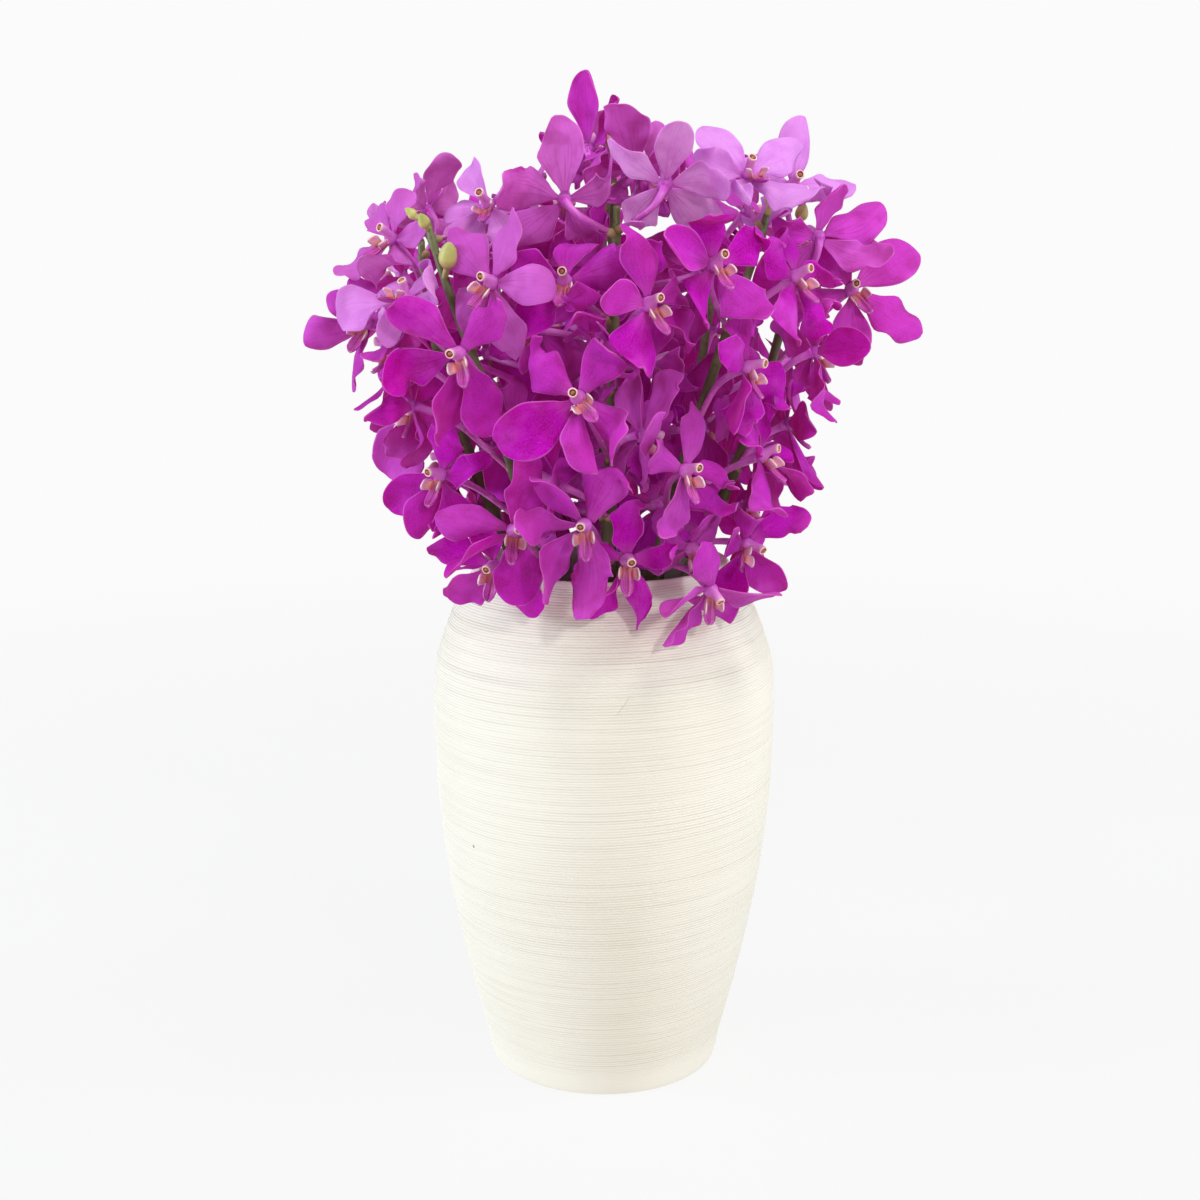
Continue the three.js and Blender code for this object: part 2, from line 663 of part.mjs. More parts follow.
// The clockwise turn of the whole bloom, as the middle of how far each tepal is turned
function middleTurn(aim) {
  const turns = aim.map((angle, i) => ((angle - TEPAL_AIM[i] + 540) % 360) - 180);
  return turns.reduce((sum, turn) => sum + turn, 0) / turns.length;
}

// A bud near the tip of a spray: a pointed oval that nods upward on a short stalk
const BUD_RADIUS = 3.6;
const BUD_LENGTH = 10;

function budSolid(spray, [below, turn, tilt, stalk, size]) {
  const root = stemAt(spray, spray.top - below);
  const neck = root.clone().addScaledVector(facing(turn, tilt), stalk);
  const far = neck.clone().addScaledVector(facing(turn, tilt + 25), BUD_LENGTH * size);
  const path = [root, neck, neck.clone().lerp(far, 0.45), far];
  return tube(path, [0.9, 1.2, BUD_RADIUS * size, 0.8], 5);
}

// Joins solids, and keeps the one outer body: a sealed hollow is filled, a scrap is dropped
function joined(solids) {
  const pieces = wasm.Manifold.union(solids).decompose();
  pieces.sort((a, b) => b.volume() - a.volume());
  return pieces[0];
}

function geometryOf(solid) {
  const { vertProperties, triVerts } = solid.getMesh();
  const geometry = new THREE.BufferGeometry();
  geometry.setAttribute('position', new THREE.Float32BufferAttribute(vertProperties, 3));
  geometry.setIndex(new THREE.BufferAttribute(triVerts, 1));
  const faceted = geometry.toNonIndexed();
  faceted.computeVertexNormals();
  return faceted;
}

function piece(name, solid, colour, roughness) {
  const material = new THREE.MeshStandardMaterial({ color: colour, roughness });
  const mesh = new THREE.Mesh(geometryOf(solid), material);
  mesh.name = name;
  return mesh;
}

function turnedSolid(outline, sides) {
  const points = outline.map(([radius, height]) => new THREE.Vector2(radius, height));
  const geometry = new THREE.LatheGeometry(points, sides);
  geometry.rotateX(Math.PI / 2);
  return solidOf(geometry);
}

// Merges the seam and the poles of a turned surface and makes a solid of it
function solidOf(geometry) {
  const position = geometry.getAttribute('position');
  const keys = new Map();
  const points = [];
  const renumber = [];
  for (let i = 0; i < position.count; i += 1) {
    const point = [position.getX(i), position.getY(i), position.getZ(i)];
    const key = point.map((value) => Math.round(value * 1e4)).join();
    if (!keys.has(key)) {
      keys.set(key, points.length);
      points.push(point);
    }
    renumber.push(keys.get(key));
  }
  const index = geometry.getIndex().array;
  const triangles = [];
  for (let i = 0; i < index.length; i += 3) {
    const corners = [renumber[index[i]], renumber[index[i + 1]], renumber[index[i + 2]]];
    if (new Set(corners).size === 3) {
      triangles.push(...corners);
    }
  }
  const mesh = new wasm.Mesh({
    numProp: 3,
    vertProperties: new Float32Array(points.flat()),
    triVerts: new Uint32Array(triangles),
  });
  return new wasm.Manifold(mesh);
}

function vaseSolid() {
  const outline = [[0, 0], ...VASE_OUTSIDE, RIM_TOP, ...VASE_INSIDE, [0, FLOOR]];
  return turnedSolid(outline, VASE_SIDES);
}

// The water fills the vase to its level, with a plain hole for each stem
function waterSolid() {
  const wall = VASE_INSIDE.filter(([, height]) => height < WATER_LEVEL).reverse()
    .map(([radius, height]) => [radius - GAP, Math.max(height, FLOOR + GAP)]);
  const bottom = FLOOR + GAP;
  const surface = [[BELLY_RADIUS - WALL - GAP, WATER_LEVEL], [0, WATER_LEVEL]];
  const water = turnedSolid([[0, bottom], ...wall, ...surface], WATER_SIDES);
  const holes = SPRAYS.map((spray) => {
    const path = [FLOOR - 5, WATER_LEVEL + 5].map((height) => stemAt(spray, height));
    return tube(path, [STEM_RADIUS + 2 * GAP, STEM_RADIUS + 2 * GAP], STEM_SIDES);
  });
  return joined([wasm.Manifold.difference([water, ...holes])]);
}

function build() {
  const group = new THREE.Group();
  group.name = 'mokara_orchid_in_vase';
  group.add(piece('vase', vaseSolid(), 0xefe8d8, 0.75));
  group.add(piece('water', waterSolid(), 0xdfeef2, 0.1));
  let number = 1;
  for (const spray of SPRAYS) {
    const solids = [stemSolid(spray)];
    for (const flower of spray.blooms) {
      solids.push(bloomSolid(spray, flower, number));
      number += 1;
    }
    solids.push(...spray.buds.map((bud) => budSolid(spray, bud)));
    group.add(piece(spray.name, joined(solids), 0xb62cc0, 0.55));
  }
  return group;
}

export default build();
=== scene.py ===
# %% [markdown]
# Mokara orchids in a combed vase.
# Nine cut sprays stand in water in a matt, cream vase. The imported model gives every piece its
# place. This file dresses it: fine petals with veins and pale rims, the small column and lip in
# the heart of each bloom, ribbed flower stalks, stems with their joints, buds, and the grooves
# that a comb left in the clay.

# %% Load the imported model
import math

import bpy
import numpy as np
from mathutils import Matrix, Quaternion, Vector


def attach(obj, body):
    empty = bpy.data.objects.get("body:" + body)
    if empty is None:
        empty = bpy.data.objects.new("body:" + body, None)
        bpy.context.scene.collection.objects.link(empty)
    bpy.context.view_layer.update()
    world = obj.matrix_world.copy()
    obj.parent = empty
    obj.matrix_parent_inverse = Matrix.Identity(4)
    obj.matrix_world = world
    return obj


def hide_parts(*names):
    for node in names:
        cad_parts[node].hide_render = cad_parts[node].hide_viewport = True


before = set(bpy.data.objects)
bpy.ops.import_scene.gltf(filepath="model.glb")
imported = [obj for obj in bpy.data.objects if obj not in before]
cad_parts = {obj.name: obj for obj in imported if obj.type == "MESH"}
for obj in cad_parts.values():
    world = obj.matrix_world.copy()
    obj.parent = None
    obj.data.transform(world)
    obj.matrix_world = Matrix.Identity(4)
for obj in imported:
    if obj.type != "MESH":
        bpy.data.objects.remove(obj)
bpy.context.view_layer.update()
MM = 0.001
print("nodes of the packed model:", ", ".join(sorted(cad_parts)))

# %% [markdown]
# The camera first, because it decides what has to look right. The vase's rings, its foot and its
# outline gave the lens, the height and the tilt: a 54 mm lens, a little over the rim of the vase,
# looking down by 12 degrees.

# %% Camera
LENS = 54
SENSOR = 36
CAMERA_PLACE = (-1.6, -700, 339)
PITCH_DOWN = 12


def new_object(name, data):
    """A new object, linked to the scene."""
    thing = bpy.data.objects.new(name, data)
    bpy.context.scene.collection.objects.link(thing)
    return thing


camera_data = bpy.data.cameras.new("camera")
camera_data.lens = LENS
camera_data.sensor_width = SENSOR
camera = new_object("camera", camera_data)
camera.location = [value * MM for value in CAMERA_PLACE]
camera.rotation_euler = (math.radians(90 - PITCH_DOWN), 0, 0)
bpy.context.scene.camera = camera
print("camera at", [round(value, 3) for value in camera.location])

# %% [markdown]
# Every finish is worked out by a tree of nodes. These helpers add the nodes that it needs: noise,
# steps of arithmetic, mixed colours, and the three places that a colour can depend on, which are
# the place in the object, the place on a grown surface and a value kept at the mesh's points.

# %% Node helpers


def set_inputs(tree, node, inputs):
    """Gives a node's inputs their values, or the sockets that feed them, by name or number."""
    for name, value in inputs.items():
        if isinstance(value, bpy.types.NodeSocket):
            tree.links.new(value, node.inputs[name])
        else:
            node.inputs[name].default_value = value


def add_node(tree, kind, inputs, **settings):
    """A node of a kind, with its inputs and its settings."""
    node = tree.nodes.new(kind)
    for name, value in settings.items():
        setattr(node, name, value)
    set_inputs(tree, node, inputs)
    return node


def new_finish(name):
    """A new material: its node tree and its Principled shader."""
    material = bpy.data.materials.new(name)
    material.use_nodes = True
    tree = material.node_tree
    shader = next(node for node in tree.nodes if node.type == "BSDF_PRINCIPLED")
    return material, tree, shader


def mix_colour(tree, share, first, second):
    """A colour between two, by a share from 0 to 1."""
    node = add_node(tree, "ShaderNodeMix", {0: share, 6: first, 7: second}, data_type="RGBA")
    return node.outputs[2]


def layer_colours(tree, tone, layers):
    """A tone with more colours over it, from the lowest up. A layer is a share and a colour."""
    for share, colour in layers:
        tone = mix_colour(tree, share, tone, colour)
    return tone


def map_value(tree, value, low, high, to_low=0.0, to_high=1.0):
    """value, carried from the range low..high to to_low..to_high, with a smooth start and end."""
    node = add_node(tree, "ShaderNodeMapRange", {0: value, 1: low, 2: high, 3: to_low, 4: to_high},
                    interpolation_type="SMOOTHSTEP")
    return node.outputs[0]


def calculate(tree, operation, first, second=0.0):
    """One step of arithmetic on one or two values."""
    return add_node(tree, "ShaderNodeMath", {0: first, 1: second}, operation=operation).outputs[0]


def multiply(tree, first, second):
    """The product of two values."""
    return calculate(tree, "MULTIPLY", first, second)


def add_noise(tree, place, scale, detail, **more):
    """Soft noise at a place, mostly near 0.5. more gives other inputs by name."""
    inputs = {"Vector": place, "Scale": scale, "Detail": detail, **more}
    return add_node(tree, "ShaderNodeTexNoise", inputs).outputs[0]


def stretched(tree, place, scale, **more):
    """A place with each of its parts scaled. more gives other inputs of the mapping by name."""
    return add_node(tree, "ShaderNodeMapping", {"Vector": place, "Scale": scale, **more}).outputs[0]


def add_bump(tree, height, strength, depth):
    """The way that a surface faces, tilted by a height. depth is in metres."""
    inputs = {"Height": height, "Strength": strength, "Distance": depth}
    return add_node(tree, "ShaderNodeBump", inputs).outputs[0]


def object_place(tree):
    """Where a point is, in metres."""
    return add_node(tree, "ShaderNodeTexCoord", {}).outputs["Object"]


def point_value(tree, name):
    """A value that the mesh keeps at its points."""
    return add_node(tree, "ShaderNodeAttribute", {}, attribute_name=name).outputs["Fac"]


def growth_place(tree):
    """Where a point is on a grown surface: the pair, then across and along on their own."""
    growth = add_node(tree, "ShaderNodeUVMap", {}, uv_map="growth").outputs[0]
    parts = add_node(tree, "ShaderNodeSeparateXYZ", {0: growth}).outputs
    return growth, parts[0], parts[1]


print("node helpers ready")

# %% [markdown]
# The picture is bright and even, almost without shadow. The table glows a little and fades into
# the white sky, as on a lit sweep of paper. The plain "Standard" view keeps the magenta as strong
# as it is, where a film-like view would grey it.

# %% Floor and sky
FLOOR_RADIUS = 6.0
FLOOR_SIDES = 96
SKY_LIGHT = 0.42
SKY_SEEN = 0.966
TABLE_LIFT = 0.875
TABLE_FADE = (0.25, 1.3)
TABLE_SHADES = ((0.055, 0.054, 0.052, 1), (0.065, 0.064, 0.062, 1))
BLACK = (0, 0, 0, 1)
WHITE = (1, 1, 1, 1)

bpy.context.scene.view_settings.view_transform = "Standard"

floor_mesh = bpy.data.meshes.new("floor")
turns = np.linspace(0, 2 * math.pi, FLOOR_SIDES, endpoint=False)
rim = np.stack([np.cos(turns), np.sin(turns), 0 * turns], 1) * FLOOR_RADIUS
floor_mesh.from_pydata(rim.tolist(), [], [list(range(FLOOR_SIDES))])
floor = new_object("floor", floor_mesh)

table_finish, tree, shader = new_finish("white_table")
place = object_place(tree)
white = mix_colour(tree, add_noise(tree, place, 6.0, 3.0), *TABLE_SHADES)
distance = add_node(tree, "ShaderNodeVectorMath", {0: place}, operation="LENGTH").outputs[1]
away = map_value(tree, distance, *TABLE_FADE)
set_inputs(tree, shader, {
    "Base Color": mix_colour(tree, away, white, BLACK),
    "Emission Strength": map_value(tree, distance, *TABLE_FADE, TABLE_LIFT, SKY_SEEN),
    "Emission Color": WHITE,
    "Roughness": 0.9,
    "Specular IOR Level": 0.0,
})
floor_mesh.materials.append(table_finish)

sky = bpy.data.worlds.new("sky")
bpy.context.scene.world = sky
sky.use_nodes = True
tree = sky.node_tree
seen = add_node(tree, "ShaderNodeLightPath", {}).outputs["Is Camera Ray"]
strength = add_node(tree, "ShaderNodeMix", {0: seen, 2: SKY_LIGHT, 3: SKY_SEEN}).outputs[0]
set_inputs(tree, tree.nodes["Background"], {"Color": WHITE, "Strength": strength})
print("floor of", FLOOR_SIDES, "sides, sky seen at", SKY_SEEN)

# %% [markdown]
# A cool soft lamp stands on either side, so the vase is brightest at its edges. One hangs above
# the bunch, and a small one to the right of the camera throws the petals' short shadows onto the
# shoulder of the vase.

# %% Lamps
COOL = (0.74, 0.85, 1.0)


def add_lamp(name, place, aim, size, power, colour=(1, 1, 1)):
    """A square soft lamp that shines from place to aim, in metres."""
    data = bpy.data.lights.new(name, "AREA")
    data.size = size
    data.energy = power
    data.color = colour
    lamp = new_object(name, data)
    lamp.location = place
    lamp.rotation_euler = (Vector(aim) - Vector(place)).to_track_quat("-Z", "Y").to_euler()
    return lamp


lamps = [
    add_lamp("lamp_left", (-1.4, -0.25, 0.6), (0, 0, 0.2), 0.6, 15.5, COOL),
    add_lamp("lamp_right", (1.3, -0.1, 0.8), (0, 0, 0.2), 0.5, 7, COOL),
    add_lamp("lamp_above", (0.3, -0.4, 1.4), (0, 0, 0.25), 0.5, 8),
    add_lamp("lamp_front", (0.5, -1.2, 0.8), (0, 0, 0.28), 0.1, 4.5),
]
print("lamps:", ", ".join(lamp.name for lamp in lamps))

# %% [markdown]
# Every new piece is a surface worked out as arrays of points, and a few helpers are enough. One
# gives the faces of a closed skin: rings of points, joined ring to ring, with a pole at each end.
# One lays a blade of some thickness on both sides of a curved sheet. One carries a ring along a
# path. A Catmull-Rom curve, a cubic that passes through every point that it is given, makes the
# outlines and the paths smooth.

# %% Skins, sheets and tubes


def skin_faces(rings, sides):
    """Quads between the rings of a closed skin, and the triangles that join its first and last
    ring to a pole. The points are the rings one after another, then the two poles."""
    ring = np.arange(rings - 1)[:, None] * sides
    here = np.arange(sides)[None]
    there = (here + 1) % sides
    quads = np.stack([ring + here, ring + there, ring + sides + there, ring + sides + here], -1)
    first, last = rings * sides, rings * sides + 1
    top = (rings - 1) * sides
    start = np.stack([np.full(sides, first), there[0], here[0]], -1)
    end = np.stack([np.full(sides, last), top + here[0], top + there[0]], -1)
    return quads.reshape(-1, 4), np.concatenate([start, end])


def close_ends(rings):
    """The rings of many like skins, (skins, rings, sides, n), as (skins, points, n) with the
    middles of the first and the last ring added as poles."""
    count, _, _, width = rings.shape
    poles = np.stack([rings[:, 0].mean(1), rings[:, -1].mean(1)], 1)
    return np.concatenate([rings.reshape(count, -1, width), poles], 1)


def unit(vectors):
    """Vectors of length 1."""
    return vectors / np.maximum(np.linalg.norm(vectors, axis=-1, keepdims=True), 1e-9)


def thick_sheets(mid, thickness):
    """Both sides of many like sheets. mid is the middle surface, (sheets, rows, columns, 3), and
    each side lies half the thickness off it, along the cross product of its two slopes. The
    thickness fades to nothing at the first and last column, where the sides meet."""
    normal = unit(np.cross(np.gradient(mid, axis=2), np.gradient(mid, axis=1)))
    columns = mid.shape[2]
    share = np.linspace(-1, 1, columns)
    off = normal * (thickness / 2 * (1 - share ** 4))[:, None]
    back = (mid - off)[:, :, ::-1]
    front = (mid + off)[:, :, 1:-1]
    return np.concatenate([back, front], 2)


def sheet_columns(values):
    """Values for the columns of a sheet, put in the order of the columns of its two sides."""
    return np.concatenate([values[::-1], values[1:-1]])


def catmull_rom(before, here, there, after, part):
    """The points of a smooth curve between here and there. part is how far along they are, and
    before and after are the points on either side."""
    return 0.5 * (2 * here + (there - before) * part
                  + (2 * before - 5 * here + 4 * there - after) * part ** 2
                  + (3 * here - before - 3 * there + after) * part ** 3)


def tubes(paths, radii, sides, reference, ribs=0, rib_depth=0.0, twist=0.0):
    """Rings round many like paths, (paths, rows, 3). radii is (paths, rows), or (1, rows) where
    all paths have the same. Each ring starts on the side that reference points to. Its radius
    can swell and sink ribs times on the way round, by rib_depth, and the ribs turn by twist
    radians along the path."""
    ahead = unit(np.gradient(paths, axis=1))
    right = reference[:, None] - ahead * (reference[:, None] * ahead).sum(-1, keepdims=True)
    right = unit(right)
    up = np.cross(ahead, right)
    angle = np.linspace(0, 2 * math.pi, sides, endpoint=False)
    turn = np.linspace(0, twist, paths.shape[1])[:, None]
    wave = 1 + rib_depth * np.cos(ribs * (angle[None] + turn))
    radius = (radii[:, :, None] * wave[None])[..., None]
    return (paths[:, :, None] + right[:, :, None] * radius * np.cos(angle)[:, None]
            + up[:, :, None] * radius * np.sin(angle)[:, None])


def row_uv(rows, sides, start=0.0, end=1.0):
    """Round and along a skin of rings, with its poles."""
    round_it = np.linspace(0, 1, sides)[None]
    along = np.linspace(start, end, rows)[:, None]
    return close_ends(np.stack(np.broadcast_arrays(round_it, along), -1)[None])


def tube_skin(rings):
    """One skin from the rings of many like tubes: its points, quads, triangles and UV."""
    rows, sides = rings.shape[1:3]
    return (close_ends(rings), *skin_faces(rows, sides), row_uv(rows, sides))


print("faces of a skin of 3 rings of 8:", [len(part) for part in skin_faces(3, 8)])

# %% [markdown]
# A piece is one mesh of such skins. It rides on the body, stands for one node of the imported model,
# which it hides, and holds its finish. Lengths are in millimetres until then, and here they
# become metres.

# %% Pieces


def add_piece(name, node, skins, finish, paint=None):
    """Puts skins into one mesh, in metres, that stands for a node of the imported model. skins is a
    list of (points, quads, triangles, uv), with points (copies, n, 3) and uv (copies, n, 2).
    paint gives more values for each point, by name."""
    all_points, all_uv, faces = [], [], []
    first = 0
    for points, quads, triangles, uv in skins:
        step = points.shape[1]
        offsets = first + step * np.arange(points.shape[0])
        faces += (quads[None] + offsets[:, None, None]).reshape(-1, 4).tolist()
        faces += (triangles[None] + offsets[:, None, None]).reshape(-1, 3).tolist()
        all_points.append(points.reshape(-1, 3))
        all_uv.append(np.broadcast_to(uv, points.shape[:2] + (2,)).reshape(-1, 2))
        first += step * points.shape[0]
    mesh = bpy.data.meshes.new(name)
    mesh.from_pydata((np.concatenate(all_points) * MM).tolist(), [], faces)
    corners = np.empty(len(mesh.loops), np.int32)
    mesh.loops.foreach_get("vertex_index", corners)
    layer = mesh.uv_layers.new(name="growth")
    layer.data.foreach_set("uv", np.concatenate(all_uv)[corners].astype(np.float32).ravel())
    for key, values in (paint or {}).items():
        attribute = mesh.attributes.new(key, "FLOAT", "POINT")
        attribute.data.foreach_set("value", np.asarray(values, np.float32).ravel())
    mesh.shade_smooth()
    mesh.materials.append(finish)
    piece = new_object(name, mesh)
    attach(piece, "root")
    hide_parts(node)
    return piece


def add_spray_piece(kind, one, skins, finish, paint=None):
    """The piece that holds one kind of part of a spray."""
    add_piece(kind + "_" + one["name"], one["name"], skins, finish, paint)


print("pieces will stand for", len(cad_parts) - 1, "nodes, the water keeps its own mesh")

# %% [markdown]
# A vase like this is thrown or cast, and a comb is held to it while it turns. The grooves are
# real ones, so they are in the mesh: the outline is walked at even steps and each ring is pressed
# in where a tooth ran. The teeth ran slightly askew, so the grooves climb to the right by a degree
# and a half. Each groove has a depth of its own, which also swells and fades on the way round.

# %% Vase
VASE_OUTSIDE = [
    (44.4, 0), (46.2, 1.6), (48.1, 10.6), (50.3, 19.6), (52.7, 28.5), (56.7, 46), (60.4, 64),
    (63.4, 81), (65.4, 98), (67, 115), (67.7, 132), (68, 150), (67.1, 166), (65.1, 174),
    (61.6, 184), (56, 196.5), (50, 205.4), (48, 206.9), (45.2, 206.4),
]
VASE_INSIDE = [
    (43.2, 203), (48.5, 194), (54.5, 185), (59.5, 172), (61.2, 158), (61, 140), (59.4, 110),
    (55.5, 75), (51, 50), (45, 24), (41.5, 11.5), (38, 8.2),
]
CURVE_STEPS = 24
COMB_SLANT = math.radians(1.5)
GROOVE_PITCH = 1.05
GROOVE_DEPTH = 0.22
GROOVE_SHARPNESS = 1.4
GROOVE_DEPTHS = (0.72, 1.0)
SWELL = 0.2
FIRST_GROOVE = 7.0
RISE_AT_FOOT = 6
BELOW_FIRST = 0.12
RIM_LEFT_SMOOTH = 4.0
FALL_AT_RIM = 2
SHOULDER_WALK = [155, 190]
SHOULDER_DEPTH_AND_SHADE = [0.75, 1.3]
SLOW_DRIFT = (0.2, 7.3)
ROUND_DRIFT = (0.15, 31)
COMB_SEED = 5
DRAWN_GROOVES = 300
SWELLS_ROUND = (1, 5)
SWELL_STARTS = (0, 6.3)
NUMBER_SHIFT = 8
VASE_SIDES = 112
OUTER_ROWS = 820
INNER_ROWS = 26


def even_outline(points, rows):
    """Points at even steps along a smooth curve through an outline, walked by its length. Also
    gives the length up to each point."""
    knots = np.array([points[0], *points, points[-1]], float)
    share = np.linspace(0, 1, CURVE_STEPS, endpoint=False)[None, :, None]
    neighbours = (knots[i:len(knots) - 3 + i][:, None] for i in range(4))
    curve = catmull_rom(*neighbours, share)
    curve = np.concatenate([curve.reshape(-1, 2), knots[-1:]])
    length = np.concatenate([[0], np.cumsum(np.linalg.norm(np.diff(curve, axis=0), axis=1))])
    walk = np.linspace(0, length[-1], rows)
    return np.stack([np.interp(walk, length, curve[:, i]) for i in (0, 1)], 1), walk


def comb_marks(walk, angle, reach):
    """How deep the comb pressed at each step of the walk up the wall and each angle round it: a
    soft valley once in every pitch, with a depth drawn for each groove. The pitch drifts slowly,
    by two sines. The marks are faint under the first groove and end below the rim. The same marks
    set the painted shade in the grooves. They are deeper on the shoulder, in the mesh and in that
    painted shade, which stands for the shade that the shoulder lies in under the petals."""
    rng = np.random.default_rng(COMB_SEED)
    climb = walk[:, None] - math.tan(COMB_SLANT) * reach[:, None] * np.sin(angle)[None]
    phase = (climb / GROOVE_PITCH + SLOW_DRIFT[0] * np.sin(climb / SLOW_DRIFT[1])
             + ROUND_DRIFT[0] * np.sin(3 * angle + climb / ROUND_DRIFT[1]))
    groove = np.floor(phase).astype(int) + NUMBER_SHIFT
    valley = 0.5 - 0.5 * np.cos(2 * math.pi * (phase - np.floor(phase)))
    depths = rng.uniform(*GROOVE_DEPTHS, DRAWN_GROOVES)
    beats = rng.integers(*SWELLS_ROUND, DRAWN_GROOVES)
    start_angle = rng.uniform(*SWELL_STARTS, DRAWN_GROOVES)
    swell = 1 - SWELL + SWELL * np.sin(angle[None] * beats[groove] + start_angle[groove])
    start = np.clip((walk - FIRST_GROOVE) / RISE_AT_FOOT, BELOW_FIRST, 1)[:, None]
    end = np.clip((walk[-1] - RIM_LEFT_SMOOTH - walk) / FALL_AT_RIM, 0, 1)[:, None]
    # Deeper on the shoulder: real depth in the mesh, and darker painted shade in the grooves there.
    shoulder_depth_and_shade = np.interp(walk, SHOULDER_WALK, SHOULDER_DEPTH_AND_SHADE)[:, None]
    return valley ** GROOVE_SHARPNESS * depths[groove] * swell * start * end * shoulder_depth_and_shade


angle = np.linspace(0, 2 * math.pi, VASE_SIDES, endpoint=False)
outer, walk = even_outline(VASE_OUTSIDE, OUTER_ROWS)
inner, _ = even_outline(VASE_INSIDE, INNER_ROWS)
marks = comb_marks(walk, angle, outer[:, 0])
slope = unit(np.gradient(outer, axis=0))
outward = np.stack([slope[:, 1], -slope[:, 0]], 1)
radius = outer[:, :1] - GROOVE_DEPTH * marks * outward[:, :1]
height = outer[:, 1:] - GROOVE_DEPTH * marks * outward[:, 1:]
outer_rings = np.stack([radius * np.sin(angle), -radius * np.cos(angle), height], -1)
inner_rings = np.stack([inner[:, :1] * np.sin(angle), -inner[:, :1] * np.cos(angle),
                        np.repeat(inner[:, 1:], VASE_SIDES, 1)], -1)
rings = np.concatenate([outer_rings, inner_rings])[None]
# The groove marks are kept at the points, to paint shade into the grooves.
groove_painted_shade = np.concatenate([marks.ravel(), np.zeros(INNER_ROWS * VASE_SIDES + 2)])
vase_uv = np.stack(np.broadcast_arrays(
    angle[None] / (2 * math.pi), np.linspace(0, 1, rings.shape[1])[:, None]), -1)[None]
print("vase rings:", rings.shape[1], "of", VASE_SIDES, "points")

# %% [markdown]
# The clay is cream and dry to the touch. Its tone comes from three things: the grooves are painted
# darker, a painted shade for the shade in them, deepest on the shoulder; thin streaks follow the
# comb and vary that painted shade; and a few ochre specks and one faint scratch sit in the surface.
# The streaks are noise stretched a long way round the vase and hardly at all up it. The scratch is
# a thin slanting line on the front of the shoulder: a mapping turns and scales the place so that
# the line fills the square from -1 to 1.

# %% Stoneware
CREAM = (0.89, 0.845, 0.73, 1)
PAINTED_SHADE_AND_SCRATCH = (0.55, 0.48, 0.38, 1)
DUSTY = (0.84, 0.785, 0.66, 1)
SPECK = (0.45, 0.30, 0.12, 1)
STREAK_STRETCH = (14, 14, 900)
GRAINS_A_METRE = 1500.0
SPECKS_A_METRE = 42.0
SPECK_EDGE = (0.022, 0.034)
CELLS_WITHOUT_SPECK = 0.86
SCRATCH_MIDDLE = (0.0068, 0, 0.1647)
SCRATCH_SIZE = (0.0052, 1, 0.00022)
SCRATCH_SLANT = math.radians(-55)

stoneware, tree, shader = new_finish("combed_stoneware")
place = object_place(tree)
lean = stretched(tree, place, STREAK_STRETCH, Rotation=(0, COMB_SLANT, 0))
streaks = add_noise(tree, lean, 1.0, 4.0, Roughness=0.6)
clouds = add_noise(tree, place, 22.0, 4.0)
grains = add_noise(tree, place, GRAINS_A_METRE, 2.0)
tone = mix_colour(tree, map_value(tree, clouds, 0.35, 0.75, 0.0, 0.6), CREAM, DUSTY)
# Painted shade: the grooves are painted darker by how deep they are, varied by the streaks.
shade = multiply(tree, point_value(tree, "groove"), map_value(tree, streaks, 0.42, 0.62, 0.5, 0.8))
tone = mix_colour(tree, shade, tone, PAINTED_SHADE_AND_SCRATCH)

specks = add_node(tree, "ShaderNodeTexVoronoi", {"Vector": place, "Scale": SPECKS_A_METRE})
dot = map_value(tree, specks.outputs["Distance"], *SPECK_EDGE, 1.0, 0.0)
lot = add_node(tree, "ShaderNodeSeparateColor", {0: specks.outputs["Color"]}).outputs[0]
rare = calculate(tree, "GREATER_THAN", lot, CELLS_WITHOUT_SPECK)
tone = mix_colour(tree, multiply(tree, dot, rare), tone, SPECK)

line = add_node(tree, "ShaderNodeMapping", {
    "Vector": place, "Location": SCRATCH_MIDDLE, "Rotation": (0, SCRATCH_SLANT, 0),
    "Scale": SCRATCH_SIZE}, vector_type="TEXTURE").outputs[0]
line = add_node(tree, "ShaderNodeSeparateXYZ", {0: line}).outputs
off_line = calculate(tree, "MAXIMUM", calculate(tree, "ABSOLUTE", line[0]),
                     calculate(tree, "ABSOLUTE", line[2]))
on_front = calculate(tree, "LESS_THAN", line[1], 0.0)
scratch = multiply(tree, map_value(tree, off_line, 0.5, 1.0, 0.6, 0.0), on_front)
tone = mix_colour(tree, scratch, tone, PAINTED_SHADE_AND_SCRATCH)

height = calculate(tree, "ADD", multiply(tree, streaks, 0.7), multiply(tree, grains, 0.25))
set_inputs(tree, shader, {
    "Base Color": tone,
    "Roughness": map_value(tree, clouds, 0.3, 0.7, 0.62, 0.8),
    "Normal": add_bump(tree, height, 0.35, 0.00035),
    "Specular IOR Level": 0.5,
})

vase_skin = (close_ends(rings), *skin_faces(rings.shape[1], VASE_SIDES), close_ends(vase_uv))
vase = add_piece("combed_vase", "vase", [vase_skin], stoneware,
                 {"groove": groove_painted_shade})
print("vase faces:", len(vase.data.polygons))

# %% [markdown]
# The water can't be seen from outside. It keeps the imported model's mesh and gets a clear finish
# with a faint green cast, as water has after some days with cut stems in it.

# %% Water
WATER_GREEN = (0.88, 0.95, 0.90, 1)
WATER_CLEAR = (0.96, 0.99, 0.97, 1)

water_finish, tree, shader = new_finish("vase_water")
drift = add_noise(tree, object_place(tree), 35.0, 2.0)
set_inputs(tree, shader, {
    "Base Color": mix_colour(tree, drift, WATER_GREEN, WATER_CLEAR),
    "Normal": add_bump(tree, drift, 0.1, 0.001),
    "Roughness": 0.03,
    "IOR": 1.333,
    "Transmission Weight": 1.0,
})
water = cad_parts["water"]
water.data.materials.clear()
water.data.materials.append(water_finish)
